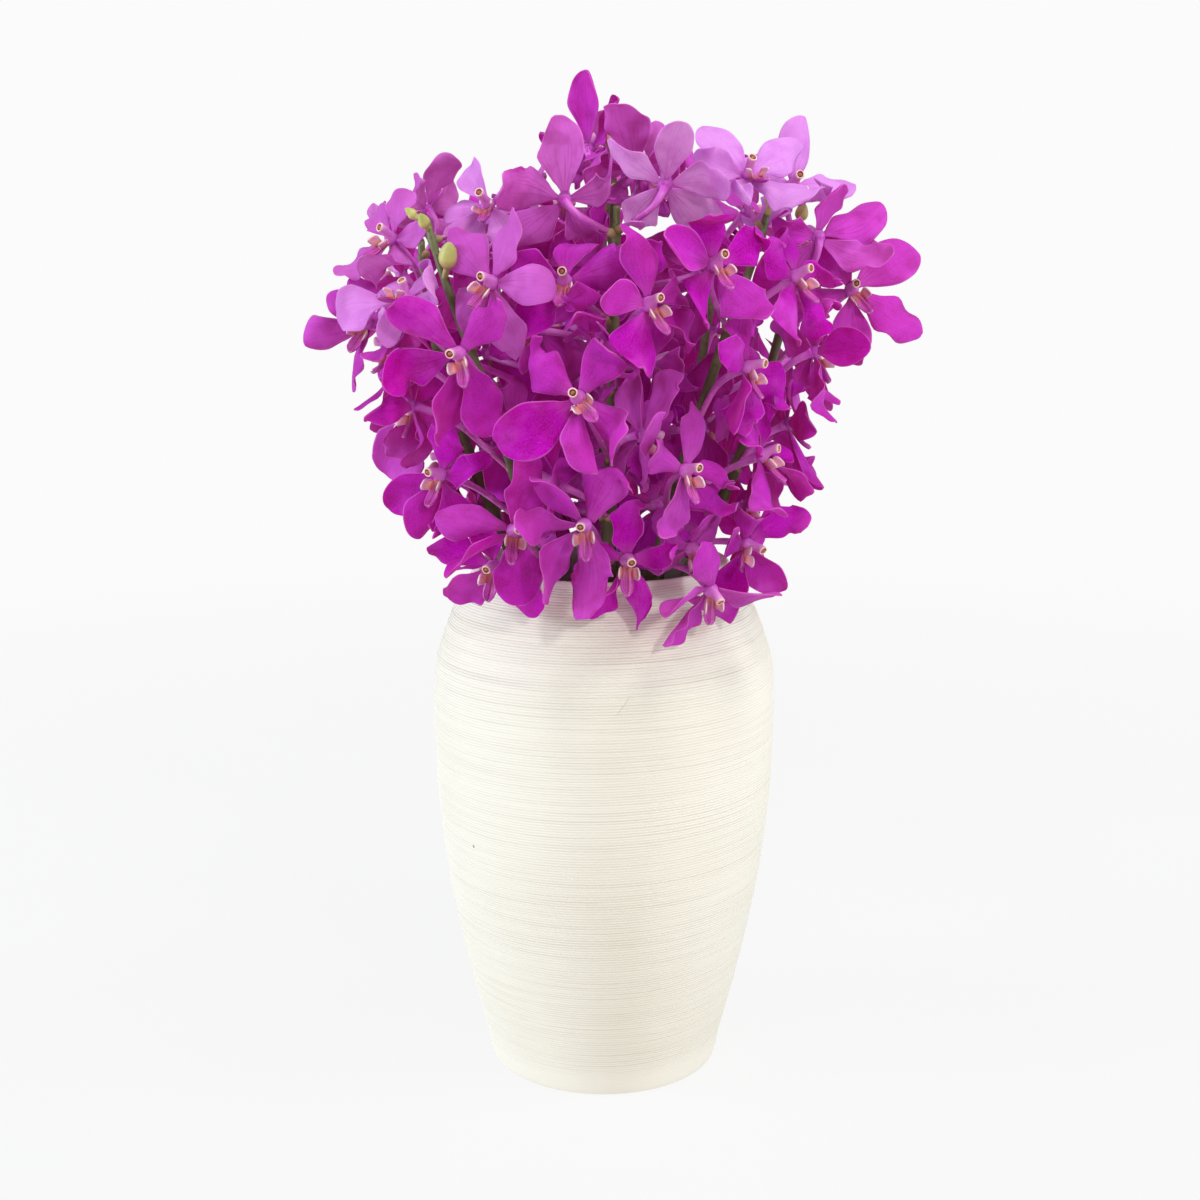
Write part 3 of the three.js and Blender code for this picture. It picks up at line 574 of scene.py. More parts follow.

# %% [markdown]
# The bunch follows the imported model bloom by bloom, so the same list stands here as in the part's
# source, in millimetres: each spray's stem, the place and the turn of each bloom, and the aim and
# length of its five tepals (the three sepals and two petals look alike in a mokara, and botanists
# call such parts tepals). Only the last number is new: how pale a bloom is. That is partly its own
# paler colour and partly painted light, for the light from above on the top of the bunch.

# %% Sprays and blooms
VASE_HEIGHT = 207
FLOOR = 8
GAP = 0.3
MOUTH_HEIGHT = 204
STEM_RINGS_ABOVE = 5
STEM_RADIUS = 2.6
STEM_TIP_RADIUS = 1.3
PEDICEL_RADIUS = 1.1
TEPALS = 5
TEPAL_LENGTH = 30
TEPAL_AIM = (0, -72, -144, 144, 72)
TEPAL_WIDTH = (0.3, 0.28, 0.32, 0.32, 0.28)
TOP_PAINTED_LIGHT = 0.5
PAINTED_LIGHT_HEIGHTS = (315, 365)
RIM_REACH = 54
REACH_GAIN = 34
WIDENING_HEIGHTS = (205, 300)
REACH_LOSS = 44
NARROWING_HEIGHTS = (315, 385)
BLOOM_SPACING = 16.5
SPACING_SPREAD = 4
LEAST_SWING = 9
SWING_SPREAD = 5
DEPTH_STEP = 7
LEAST_DEPTH = -8
LOWEST_TILT = -22
TILT_STEP = 6.5
TILT_SPREAD = 16
TURN_OUTWARD = 1.8
TURN_SPREAD = 30
ROLL_SPREAD = 70


def facing(turn, tilt=0.0):
    """A direction, by its bearing from the viewer's side and how far it is tilted upward."""
    level = math.cos(math.radians(tilt))
    return Vector((math.sin(math.radians(turn)) * level, -math.cos(math.radians(turn)) * level,
                   math.sin(math.radians(tilt))))


def dice(seed):
    """A repeatable run of draws between 0 and 1, the same run as in the part's source."""
    state = seed * 2654435761 % 2 ** 32
    while True:
        state = (state * 1664525 + 1013904223) % 2 ** 32
        yield state / 2 ** 32


def smoothstep(value, low, high):
    """0 below low, 1 above high, and a smooth rise between."""
    share = np.clip((value - low) / (high - low), 0, 1)
    return share * share * (3 - 2 * share)


def bloom(x, y, z, turn, tilt, aim, long, pale_and_painted_light=0.0):
    """One bloom: where its heart is, how it faces, its tepals' aims and lengths, its paleness, which
    is partly painted light.
    """
    return {"heart": Vector((x, y, z)), "turn": turn, "tilt": tilt, "aim": aim, "long": long,
            "pale_and_painted_light": pale_and_painted_light}


def hidden_bloom(bearing, reach, height, turn, tilt, roll):
    """A bloom on a side that the picture doesn't show, with evenly spread tepals."""
    heart = facing(bearing) * reach
    aim = [angle + roll for angle in TEPAL_AIM]
    # Higher blooms are paler: painted light, for the light from above on the top of the bunch.
    pale_and_painted_light = float(TOP_PAINTED_LIGHT * smoothstep(height, *PAINTED_LIGHT_HEIGHTS))
    return bloom(heart.x, heart.y, height, turn, tilt, aim, [TEPAL_LENGTH] * TEPALS, pale_and_painted_light)


def bunch_reach(height):
    """How far out the hearts sit at a height: narrow over the rim, widest at two thirds."""
    gain = REACH_GAIN * smoothstep(height, *WIDENING_HEIGHTS)
    return RIM_REACH + gain - REACH_LOSS * smoothstep(height, *NARROWING_HEIGHTS)


def blooms_up_a_spray(bearing, lowest, count, seed):
    """Blooms up a spray on the far side, left and right of the stem in turn."""
    draw = dice(seed)
    found = []
    for k in range(count):
        height = lowest + k * BLOOM_SPACING + SPACING_SPREAD * next(draw)
        swing = (1 if k % 2 == 0 else -1) * (LEAST_SWING + SWING_SPREAD * next(draw))
        depth = LEAST_DEPTH + DEPTH_STEP * (k % 3)
        tilt = LOWEST_TILT + TILT_STEP * k + TILT_SPREAD * next(draw)
        turn = bearing + swing * TURN_OUTWARD + TURN_SPREAD * (next(draw) - 0.5)
        roll = ROLL_SPREAD * (next(draw) - 0.5)
        reach = float(bunch_reach(height)) + depth
        found.append(hidden_bloom(bearing + swing, reach, height, turn, tilt, roll))
    return found


def spray(name, bearings, mouth, reach, top, buds, blooms):
    """One spray: its stem's bearings at the mouth and the tip, how far out it is there, the height
    of its tip, and what grows on it."""
    return {"name": name, "from": bearings[0], "to": bearings[1], "mouth": mouth, "reach": reach,
            "top": top, "buds": buds, "blooms": blooms}


SPRAYS = [
    spray("spray_front", (3, 5), 34, 50, 343, [], [
        bloom(-9, -88, 279, -4, 8, [-57, -127, -187, 135, 31], [28, 31, 25, 30, 25]),
        bloom(15, -80, 310, 35, 5, [-6, -75, -156, 116, 76], [29, 22, 26, 25, 31]),
        bloom(-1, -66, 294, 96, 24, [-10, -93, -150, 140, 65], [24, 24, 24, 24, 24]),
        bloom(13, -68, 264, 112, -18, [-24, -90, -150, 130, 46], [26, 26, 26, 28, 26]),
        bloom(-14, -60, 317, -8, 15, [5, -70, -140, 145, 75], [28, 28, 26, 26, 27]),
        bloom(-18, -62, 246, -94, 12, [0, -72, -140, 150, 70], [28, 26, 28, 28, 26]),
        bloom(-7, -81, 234, -8, -10, [-35, -88, -134, -180, 30], [26, 26, 31, 31, 31]),
        bloom(8, -72, 220, 10, -12, [-6, -75, -150, 176, 84], [27, 24, 24, 30, 28]),
        bloom(-14, -52, 345, 180, 20, [4, -75, -150, 132, 75], [27, 26, 26, 28, 28], 0.1),
        bloom(21, -58, 350, 184, 34, [-6, -80, -133, 140, 54], [22, 24, 27, 25, 24], 0.7),
    ]),
    spray("spray_front_left", (-34, -54), 36, 78, 338,
          [(0, -80, 15, 4, 0.5), (3, -20, 20, 3, 0.6), (20, 14, 32, 8, 1)], [
        bloom(-32, -74, 231, 14, -4, [10, -80, -114, 170, 85], [31, 27, 27, 26, 25]),
        bloom(-40, -58, 215, -20, -14, [0, -65, -130, 140, 65], [22, 23, 22, 22, 22]),
        bloom(-50, -76, 293, -16, -10, [-52, -100, -166, 162, 40], [27, 31, 30, 30, 26]),
        bloom(-39, -70, 317, -34, 4, [26, -50, -130, 165, 90], [25, 27, 26, 28, 25], 0.3),
        bloom(-59, -54, 248, -36, -2, [29, -112, -158, -196, 80], [22, 26, 25, 28, 24]),
        bloom(-71, -52, 310, -32, 60, [0, -62, -109, 150, 73], [22, 24, 27, 24, 22], 0.75),
        bloom(-42, -34, 343, -24, 26, [-37, -92, -160, 140, 50], [19, 20, 24, 26, 20], 0.6),
        bloom(-76, -44, 292, -102, 10, [20, -60, -125, 165, 85], [24, 25, 26, 25, 22]),
        bloom(-70, -40, 271, -108, -14, [10, -60, -111, 165, 80], [24, 28, 28, 26, 24]),
    ]),
    spray("spray_front_right", (30, 55), 36, 71, 340, [(0, 20, 50, 4, 0.7)], [
        bloom(28, -74, 252, 40, 0, [31, -60, -160, 140, 92], [30, 24, 28, 27, 26]),
        bloom(31, -58, 222, 44, -30, [0, -80, -140, 123, 60], [26, 24, 26, 30, 25]),
        bloom(38, -66, 208, 30, -40, [-20, -85, -150, 153, 96], [22, 22, 24, 28, 28]),
        bloom(38, -70, 323, 28, 16, [-5, -75, -140, 145, 70], [27, 25, 27, 27, 26]),
        bloom(50, -62, 287, 56, 0, [5, -70, -140, 176, 112], [28, 24, 26, 29, 28]),
        bloom(52, -46, 221, 46, -22, [43, -20, -80, -174, 140], [27, 24, 24, 22, 26]),
        bloom(57, -48, 254, 62, 10, [20, -60, -158, 122, 80], [24, 24, 27, 27, 28]),
        bloom(51, -45, 353, 22, 48, [-20, -84, -126, 140, 58], [24, 20, 24, 27, 25], 0.9),
        bloom(68, -48, 318, 48, 12, [0, -72, -146, 150, 72], [26, 24, 26, 26, 25]),
    ]),
    spray("spray_right", (84, 79), 34, 73, 335, [(0, 140, 50, 4, 0.7)], [
        bloom(69, -22, 350, 18, 20, [18, -70, -142, 146, 84], [24, 22, 26, 26, 23], 0.85),
        bloom(78, -30, 332, 200, 6, [-8, -74, -112, 150, 80], [20, 29, 28, 24, 24], 0.1),
        bloom(94, -6, 312, 14, 8, [-30, -108, -172, 124, 56], [22, 20, 28, 29, 32]),
        bloom(78, -28, 290, 116, -8, [0, -75, -150, 150, 75], [24, 24, 26, 26, 24]),
        bloom(70, -16, 262, 98, 6, [0, -80, -150, 130, 62], [24, 25, 26, 24, 26]),
        hidden_bloom(92, 56, 228, 84, -14, 10),
        hidden_bloom(108, 66, 248, 112, -4, -24),
        hidden_bloom(110, 80, 284, 118, 4, 20),
    ]),
    spray("spray_left", (-83, -92), 34, 70, 330, [(0, -150, 50, 4, 0.7)], [
        bloom(-89, -16, 300, -26, -4, [6, -60, -115, -160, 70], [18, 18, 25, 25, 22], 0.1),
        bloom(-78, -26, 331, -44, 22, [10, -50, -125, 150, 80], [18, 22, 25, 26, 20], 0.4),
        bloom(-68, 5, 342, -112, 24, [-2, -72, -144, 140, 68], [22, 24, 26, 26, 20], 0.35),
        hidden_bloom(-84, 50, 228, -84, -10, 13),
        hidden_bloom(-104, 64, 244, -108, -6, -20),
        hidden_bloom(-84, 74, 262, -80, 0, 16),
        hidden_bloom(-106, 82, 282, -112, 2, 0),
        hidden_bloom(-108, 84, 316, -116, 16, -30),
    ]),
    spray("spray_back_left", (-138, -138), 34, 68, 336,
          [(8, -80, 45, 6, 0.9)], blooms_up_a_spray(-138, 222, 7, 11)),
    spray("spray_back", (180, 180), 34, 66, 342,
          [(0, 120, 50, 5, 0.8)], blooms_up_a_spray(180, 219, 7, 23)),
    spray("spray_back_right", (138, 138), 34, 68, 332,
          [(8, -170, 45, 6, 0.9)], blooms_up_a_spray(138, 223, 8, 37)),
    spray("spray_middle", (20, 20), 3, 9, 362, [(0, -30, 60, 4, 0.7)], [
        bloom(-6, -10, 364, 166, 24, [-8, -58, -104, 132, 76], [26, 22, 20, 20, 17], 0.1),
        bloom(12, -20, 356, 158, 40, [5, -72, -144, 144, 72], [27, 26, 24, 24, 26], 0.15),
        bloom(36, 0, 352, 60, 42, [16, -72, -144, 144, 80], [23, 22, 24, 24, 24]),
        bloom(14, -14, 353, 40, 78, [0, -72, -144, 144, 72], [21, 22, 24, 24, 23], 0.1),
        bloom(-30, 6, 348, -80, 48, [0, -72, -144, 144, 72], [23, 24, 26, 26, 24], 0.5),
        bloom(6, 22, 358, 170, 46, [10, -62, -134, 154, 82], [25, 25, 27, 27, 25], 0.2),
        hidden_bloom(-48, 34, 298, -136, 0, 20),
        hidden_bloom(34, 32, 286, 126, 4, -20),
        hidden_bloom(-4, 26, 322, 150, 20, 0),
        hidden_bloom(60, 40, 318, 150, 10, 30),
        hidden_bloom(-60, 42, 326, -150, 12, -10),
        hidden_bloom(10, 34, 258, 160, -6, 12),
        hidden_bloom(58, 44, 262, 140, 0, -14),
        hidden_bloom(-52, 42, 262, -140, -4, 8),
        hidden_bloom(-113, 50, 286, 170, 6, 16),
        hidden_bloom(-131, 18, 298, -165, 12, -24),
        hidden_bloom(-90, 18, 229, 175, -10, 30),
        hidden_bloom(-85, 46, 251, -160, 0, -8),
        hidden_bloom(58, 24, 230, 165, -12, 20),
    ]),
]
print("sprays:", len(SPRAYS), "blooms:", sum(len(one["blooms"]) for one in SPRAYS))

# %% [markdown]
# Stems stand straight in the vase and bow outward above its mouth. A flower stalk, the pedicel,
# leaves the stem below its bloom and arrives from straight behind it.

# %% Stems and stalks
FOOT_SPREAD = 0.45
STEM_BOW = 1.6
STALK_DROP = 0.45
DROP_LESS = 12
LEAST_DROP = 6
JOINT_OVER_MOUTH = 8
JOINT_UNDER_TIP = 3
BEND_BEHIND = 7
BEND_TO_STEM = 0.3


def stem_at(one, height):
    """Where a stem's middle is at a height."""
    if height <= MOUTH_HEIGHT:
        share = (height - FLOOR) / (MOUTH_HEIGHT - FLOOR)
        level = one["mouth"] * (FOOT_SPREAD + (1 - FOOT_SPREAD) * share)
        bearing = one["from"]
    else:
        share = (height - MOUTH_HEIGHT) / (one["top"] - MOUTH_HEIGHT)
        level = one["mouth"] + (one["reach"] - one["mouth"]) * (1 - (1 - share) ** STEM_BOW)
        bearing = one["from"] + (one["to"] - one["from"]) * share * share
    place = facing(bearing) * level
    return Vector((place.x, place.y, height))


def stem_joints(one):
    """Points up a stem from the mouth to the tip, between which it counts as straight."""
    rise = (one["top"] - MOUTH_HEIGHT) / STEM_RINGS_ABOVE
    return [stem_at(one, MOUTH_HEIGHT + rise * k) for k in range(STEM_RINGS_ABOVE + 1)]


def bloom_frame(flower):
    """Right, up and forward of a bloom, as its viewer sees them."""
    face = facing(flower["turn"], flower["tilt"])
    up = (Vector((0, 0, 1)) - face * face.z).normalized()
    return up.cross(face), up, face


def pedicel_path(one, flower):
    """Three points along a flower stalk: on the stem, at its bend and behind the bloom."""
    heart = flower["heart"]
    face = facing(flower["turn"], flower["tilt"])
    drop = max(STALK_DROP * math.hypot(heart.x, heart.y) - DROP_LESS, LEAST_DROP)
    height = min(max(heart.z - drop, MOUTH_HEIGHT + JOINT_OVER_MOUTH), one["top"] - JOINT_UNDER_TIP)
    root = stem_at(one, height)
    back = heart - face
    return [root, (back - BEND_BEHIND * face).lerp(root, BEND_TO_STEM), back]


for one in SPRAYS:
    print(one["name"], "tip at", [round(value) for value in stem_at(one, one["top"])])

# %% [markdown]
# Blooms in a bunch press on each other without passing through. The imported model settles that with
# walls: planes that a bloom stays behind, one for each neighbour, stem and stalk near it and one
# for the vase. The same walls are worked out here, so that the fine petals stay apart too.

# %% Walls between the blooms
CLEARANCE = 0.45
EDGE_ROOM = 0.4
LEAST_HALF = 0.3
TIP_ROOM = 1
TURN_AWAY = 6
DEPTH_WEIGHT = 3
NEAR = 64
OWN_STALK = 4
STALK_ROOM = 1.4
SAME_WAY = 0.5
VASE_EDGE = [
    (44.4, 0), (46, 2), (50.3, 20), (58.3, 53), (64, 86), (67.5, 124), (68, 152), (66.4, 169),
    (62, 184), (56, 197), (49, 206), (46, VASE_HEIGHT), (0, VASE_HEIGHT),
]


def wall_at(point, away):
    """A wall through a point: its outward unit normal, and how far out it stands."""
    return away, away.dot(point) - CLEARANCE


def nearest_on_line(point, start, end):
    """The point of a straight piece that is nearest to another point."""
    along = end - start
    share = (point - start).dot(along) / along.length_squared
    return start + along * min(max(share, 0), 1)


def wall_between(flower, other):
    """The wall between two blooms. It stands nearer square to the way that they face than to the
    line between them, so that one bloom spreads in front of the other."""
    to_other = other["heart"] - flower["heart"]
    ahead = facing(flower["turn"], flower["tilt"]) + facing(other["turn"], other["tilt"])
    away = to_other.copy()
    if ahead.length > SAME_WAY:
        ahead.normalize()
        away += ahead * (DEPTH_WEIGHT - 1) * to_other.dot(ahead)
    return wall_at(flower["heart"] + to_other * 0.5, away.normalized())


def wall_before_rod(flower, start, end, radius):
    """The wall in front of a straight piece of stem or stalk."""
    nearest = nearest_on_line(flower["heart"], start, end)
    away = (nearest - flower["heart"]).normalized()
    return wall_at(nearest - away * radius, away)


def wall_before_vase(flower):
    """The wall that touches the vase where the bloom is nearest to it."""
    heart = flower["heart"]
    here = Vector((math.hypot(heart.x, heart.y), 0, heart.z))
    edge = [Vector((reach, 0, height)) for reach, height in VASE_EDGE]
    near = [nearest_on_line(here, *pair) for pair in zip(edge, edge[1:])]
    nearest = min(near, key=lambda point: (point - here).length)
    outward = Vector((heart.x, heart.y, 0)).normalized()
    point = Vector((outward.x * nearest.x, outward.y * nearest.x, nearest.z))
    return wall_at(point, (point - heart).normalized())


def walls_round(flower):
    """All walls round a bloom."""
    heart = flower["heart"]
    walls = [wall_before_vase(flower)]
    for one in SPRAYS:
        joints = stem_joints(one)
        for start, end in zip(joints, joints[1:]):
            if (nearest_on_line(heart, start, end) - heart).length < NEAR / 2:
                walls.append(wall_before_rod(flower, start, end, STEM_RADIUS))
        for other in one["blooms"]:
            if other is flower:
                continue
            if (other["heart"] - heart).length < NEAR:
                walls.append(wall_between(flower, other))
            stalk = pedicel_path(one, other)
            for start, end in zip(stalk, stalk[1:]):
                if OWN_STALK < (nearest_on_line(heart, start, end) - heart).length < NEAR / 2:
                    walls.append(wall_before_rod(flower, start, end, PEDICEL_RADIUS * STALK_ROOM))
    return walls


for one in SPRAYS:
    for flower in one["blooms"]:
        flower["walls"] = walls_round(flower)
print("walls round the first bloom:", len(SPRAYS[0]["blooms"][0]["walls"]))

# %% [markdown]
# A tepal grows from the heart in twelve steps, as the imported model's do. Its middle line curls
# back, sways and twists by amounts of its own, and turns aside where a wall is near. The blade
# turns with it, and it is no wider than the walls leave room for.

# %% Growth of the tepals
GROWTH_STEPS = 12
HEART_RADIUS = 2.9
TEPAL_SPARE = 0.7
ROUND_FROM = 0.6
CLAW_WIDTH = 0.28
CLAW_END = 0.56
WEDGE_GAP = 0.15
TEPAL_START = 0.8
LENGTH_DRAW = (0.97, 0.06)
WIDTH_DRAW = (0.92, 0.16)
CURL_DRAW = (-20, 78)
SWAY_DRAW = (-17, 34)
TWIST_DRAW = (-45, 90)
RISE_DRAW = (-4, 26)
BEND_AT_CLAW = 0.3
BEND_MORE = 1.4
FAR = 99.0
LEAST_WIDTH = 0.1
LEAST_LEAN = 0.05


def outline_width(share):
    """Width along a tepal, as a share of its widest: a narrow claw that widens smoothly to just
    past the middle, and a round tip, a quarter of an ellipse, over the last part."""
    share = np.asarray(share, float)
    claw = CLAW_WIDTH + (1 - CLAW_WIDTH) * smoothstep(share, 0, CLAW_END)
    tip = np.sqrt(np.clip(1 - (np.maximum(share - ROUND_FROM, 0) / (1 - ROUND_FROM)) ** 2, 0, 1))
    return claw * tip


STEP_WIDTH = [float(outline_width(k / GROWTH_STEPS)) for k in range(GROWTH_STEPS + 1)]


def drawn_inside(point, heart, walls, spare):
    """A point past a wall, drawn back toward the heart of the bloom."""
    arm = point - heart
    share = 1.0
    for away, reach in walls:
        outward = away.dot(arm)
        room = reach - spare - away.dot(heart)
        if outward > room:
            share = min(share, room / outward)
    return heart + arm * share


def wedge_walls(flower, index, right, up):
    """The walls between a tepal and the two beside it in the same bloom."""
    walls = []
    for step in (1, TEPALS - 1):
        turn = flower["aim"][(index + step) % TEPALS] - flower["aim"][index]
        half = ((turn + 540) % 360 - 180) / 2
        angle = math.radians(90 - flower["aim"][index] - half - math.copysign(90, half))
        away = right * math.cos(angle) + up * math.sin(angle)
        walls.append((away, away.dot(flower["heart"]) - WEDGE_GAP))
    return walls


def turned_clear(across, at, half, walls):
    """The way across a blade, leant off each wall that a blade of this half width would cut."""
    for away, reach in walls:
        lean = away.dot(across)
        most = max(reach - away.dot(at) - EDGE_ROOM, LEAST_HALF) / max(half, LEAST_WIDTH)
        if abs(lean) > most:
            across = across - away * (lean - math.copysign(most, lean))
    return across


def room_beside(across, at, walls):
    """How far a blade may reach to its right and to its left."""
    room = [FAR, FAR]
    for away, reach in walls:
        lean = away.dot(across)
        most = max(reach - away.dot(at) - EDGE_ROOM, LEAST_HALF) / max(abs(lean), LEAST_LEAN)
        side = 0 if lean > 0 else 1
        room[side] = min(room[side], most)
    return room


def turned_away(ahead, at, walls):
    """The way ahead, turned aside from each wall that the middle line would soon reach."""
    for away, reach in walls:
        into = away.dot(ahead)
        most = max(reach - away.dot(at) - TIP_ROOM, 0) / TURN_AWAY
        if into > most:
            ahead = ahead + away * (most - into)
    return ahead.normalized()


def drawn(draw, low, spread):
    """A value drawn from low to low + spread."""
    return low + spread * next(draw)


def grow_tepal(flower, index, axes, draw):
    """The middle line of a tepal: at each step its place, the way across it, the way that it
    faces and how far it may reach to its right and to its left. Also its greatest half width."""
    right, up, face = axes
    heart, walls = flower["heart"], flower["walls"]
    length = flower["long"][index] * drawn(draw, *LENGTH_DRAW)
    widest = length * TEPAL_WIDTH[index] * drawn(draw, *WIDTH_DRAW)
    curl = math.radians(drawn(draw, *CURL_DRAW)) / GROWTH_STEPS
    sway = math.radians(drawn(draw, *SWAY_DRAW)) / GROWTH_STEPS
    twist = math.radians(drawn(draw, *TWIST_DRAW)) / GROWTH_STEPS
    rise = math.radians(drawn(draw, *RISE_DRAW))
    aim = math.radians(90 - flower["aim"][index])
    level = right * math.cos(aim) + up * math.sin(aim)
    across = level.cross(face)
    at = heart + level * HEART_RADIUS * TEPAL_START
    ahead = level * math.cos(rise) + face * math.sin(rise)
    nearby = walls + wedge_walls(flower, index, right, up)
    trail = []
    for k in range(GROWTH_STEPS + 1):
        across = turned_clear(across, at, widest * STEP_WIDTH[k], nearby)
        across = (across - ahead * across.dot(ahead)).normalized()
        room = room_beside(across, at, nearby)
        normal = across.cross(ahead)
        at = drawn_inside(at, heart, walls, TEPAL_SPARE)
        trail.append((*at, *across, *normal, *room))
        bend = BEND_AT_CLAW + BEND_MORE * k / GROWTH_STEPS
        ahead = Quaternion(across, -curl * bend) @ ahead
        ahead = Quaternion(normal, sway) @ ahead
        across = Quaternion(ahead, twist) @ across
        ahead = turned_away(ahead, at, nearby)
        at = at + ahead * length / GROWTH_STEPS
    return trail, widest


number = 1
for one in SPRAYS:
    for flower in one["blooms"]:
        axes = bloom_frame(flower)
        draw = dice(number)
        flower["tepals"] = [grow_tepal(flower, index, axes, draw) for index in range(TEPALS)]
        number += 1
print("tepals grown:", TEPALS * (number - 1))

# %% [markdown]
# The blade itself is a sheet over the middle line: 22 rows from claw to tip, set closer where the
# tip is round, and 11 columns, set closer at the rims. It is dished or arched a little, its rims
# wave, and a shallow fold runs up the middle. Two sides half a millimetre apart make it a solid,
# thin at the rim, which is how a real petal catches a pale line of light there.

# %% Petals
CLAW_ROWS = 12
TIP_ROWS = 10
LAST_TIP_ANGLE = math.radians(81)
HALF_COLUMNS = 5
PETAL_THICKNESS = 0.55
LAST_CUT = 0.9
FULLNESS = 1.07
WALL_SPARE = 0.05
DISH = (-0.62, 0.42)
WAVE = (0.04, 0.2)
BEATS = (1.2, 2.6)
PHASE = (0, 2 * math.pi)
PLEAT = (-0.5, 0.5)
RIM_LAG = 2.2
FOLD_DEPTH = 0.28
FOLD_WIDTH = 0.16
SLACK_STEPS = (0, 2.2, 3.1)

tip_angle = np.linspace(0, LAST_TIP_ANGLE, TIP_ROWS + 1)[1:]
ROWS = np.concatenate([np.linspace(0, ROUND_FROM, CLAW_ROWS),
                       ROUND_FROM + (1 - ROUND_FROM) * np.sin(tip_angle)])
COLUMNS = np.sin(math.pi / 2 * np.linspace(-1, 1, 2 * HALF_COLUMNS + 1))
SLACK = np.interp(ROWS, [0, ROUND_FROM, 1], SLACK_STEPS)


def smooth_steps(share, values):
    """Values on a smooth curve through growth steps. values is (tepals, steps, n), and share runs
    from 0 to 1 along the tepal."""
    last = values.shape[1] - 1
    place = share * last
    k = np.clip(np.floor(place).astype(int), 0, last - 1)
    neighbours = (values[:, np.clip(k + step, 0, last)] for step in (-1, 0, 1, 2))
    return catmull_rom(*neighbours, (place - k)[None, :, None])


def room_for_width(widest, most):
    """Half widths on both sides, no more than most. A curved rim bulges a little past the
    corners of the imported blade. Where a wall cuts into a blade, the blade narrows toward the cut
    and keeps a round tip: its share of the full width changes by no more than the difference of
    SLACK between two rows."""
    full = FULLNESS * widest[:, None] * outline_width(ROWS)[None, :]
    share = np.minimum(np.maximum(most, LEAST_HALF) / full[..., None], 1)
    spread = np.where((ROWS > LAST_CUT)[None, :, None], 1, share)
    slack = np.abs(SLACK[:, None] - SLACK[None, :])
    spread = (spread[:, None] + slack[None, :, :, None]).min(2)
    return full[..., None] * np.minimum(share, spread)


def petal_sheets(flowers, rng):
    """The middle surfaces of all tepals of some blooms. A point lies off the middle line by the
    half width times its column, and off that flat strip by a dish (the square of the column), a
    wave at the rims (a sine along the tepal), a narrow fold up the middle and a shallow pleat on
    either side of it (a cosine of the column)."""
    trail = np.array([grown for flower in flowers for grown, _ in flower["tepals"]])
    widest = np.array([wide for flower in flowers for _, wide in flower["tepals"]])
    fine = smooth_steps(ROWS, trail)
    across = unit(fine[..., 3:6])
    normal = fine[..., 6:9] - across * (fine[..., 6:9] * across).sum(-1, keepdims=True)
    normal = unit(normal)
    half = room_for_width(widest, fine[..., 9:11])
    half = np.where(COLUMNS > 0, half[..., :1], half[..., 1:])
    dish, wave, beats, phase, pleat = (rng.uniform(*limits, (len(trail), 1, 1))
                                       for limits in (DISH, WAVE, BEATS, PHASE, PLEAT))
    column = COLUMNS[None, None]
    along = ROWS[None, :, None]
    ripple = np.sin(2 * math.pi * beats * along + phase + RIM_LAG * column)
    lift = half * (dish * column ** 2 + wave * np.abs(column) ** 2.5 * ripple)
    lift = lift - FOLD_DEPTH * np.exp(-(column / FOLD_WIDTH) ** 2) * (1 - along)
    lift = lift + pleat * np.cos(2 * math.pi * column) * np.sin(math.pi * along) * np.abs(column)
    return (fine[:, :, None, :3] + across[:, :, None] * (half * column)[..., None]
            + normal[:, :, None] * lift[..., None])


def keep_inside(points, flower):
    """Points of one bloom that are past a wall, drawn back toward its heart."""
    away = np.array([wall[0] for wall in flower["walls"]])
    heart = np.array(flower["heart"])
    room = np.array([wall[1] for wall in flower["walls"]]) - WALL_SPARE - away @ heart
    arm = points - heart
    outward = arm @ away.T
    share = np.where(outward > room, room / np.maximum(outward, 1e-6), 1).min(-1, keepdims=True)
    return heart + arm * share


def sheet_uv(across, along):
    """Across and along a thick sheet, for the points of its two sides and its poles."""
    grid = np.stack(np.broadcast_arrays(sheet_columns(across)[None], along[:, None]), -1)
    return close_ends(grid[None])


PETAL_SIDES = 4 * HALF_COLUMNS
petal_faces = skin_faces(len(ROWS), PETAL_SIDES)
back_side = np.concatenate([np.ones(2 * HALF_COLUMNS), np.zeros(2 * HALF_COLUMNS)])
back_side[[0, 2 * HALF_COLUMNS]] = 0.5
back_grid = np.broadcast_to(back_side[None, :, None], (len(ROWS), PETAL_SIDES, 1))
back_values = close_ends(back_grid[None])[0, :, 0]
print("a petal has", len(petal_faces[0]), "quads")

# %% [markdown]
# Seen close, a petal's skin is a mosaic of small domed cells. Their sparkle is painted: lighter
# dots on the domes stand for the glints that they catch. The column and the lip have the same
# skin, with smaller cells. So the mosaic is a node group of its own: it gives a share of painted
# sparkle for the colour and a height for the bump.

# %% Cell mosaic


def make_cell_mosaic():
    """A node group: the distance to the middle of the nearest cell, softened by a fine noise."""
    group = bpy.data.node_groups.new("cell_mosaic", "ShaderNodeTree")
    for name, way, kind in [("Place", "INPUT", "Vector"), ("Cells a metre", "INPUT", "Float"),
                            ("Light", "OUTPUT", "Float"), ("Height", "OUTPUT", "Float")]:
        group.interface.new_socket(name, in_out=way, socket_type="NodeSocket" + kind)
    place, cells_a_metre = group.nodes.new("NodeGroupInput").outputs[:2]
    cells = add_node(group, "ShaderNodeTexVoronoi", {"Vector": place, "Scale": cells_a_metre})
    dome = map_value(group, cells.outputs["Distance"], 0.1, 0.75, 1.0, 0.0)
    painted_sparkle = multiply(group, dome, add_noise(group, place, cells_a_metre, 2.0))
    add_node(group, "NodeGroupOutput", {0: painted_sparkle, 1: dome})
    return group


cell_mosaic = make_cell_mosaic()


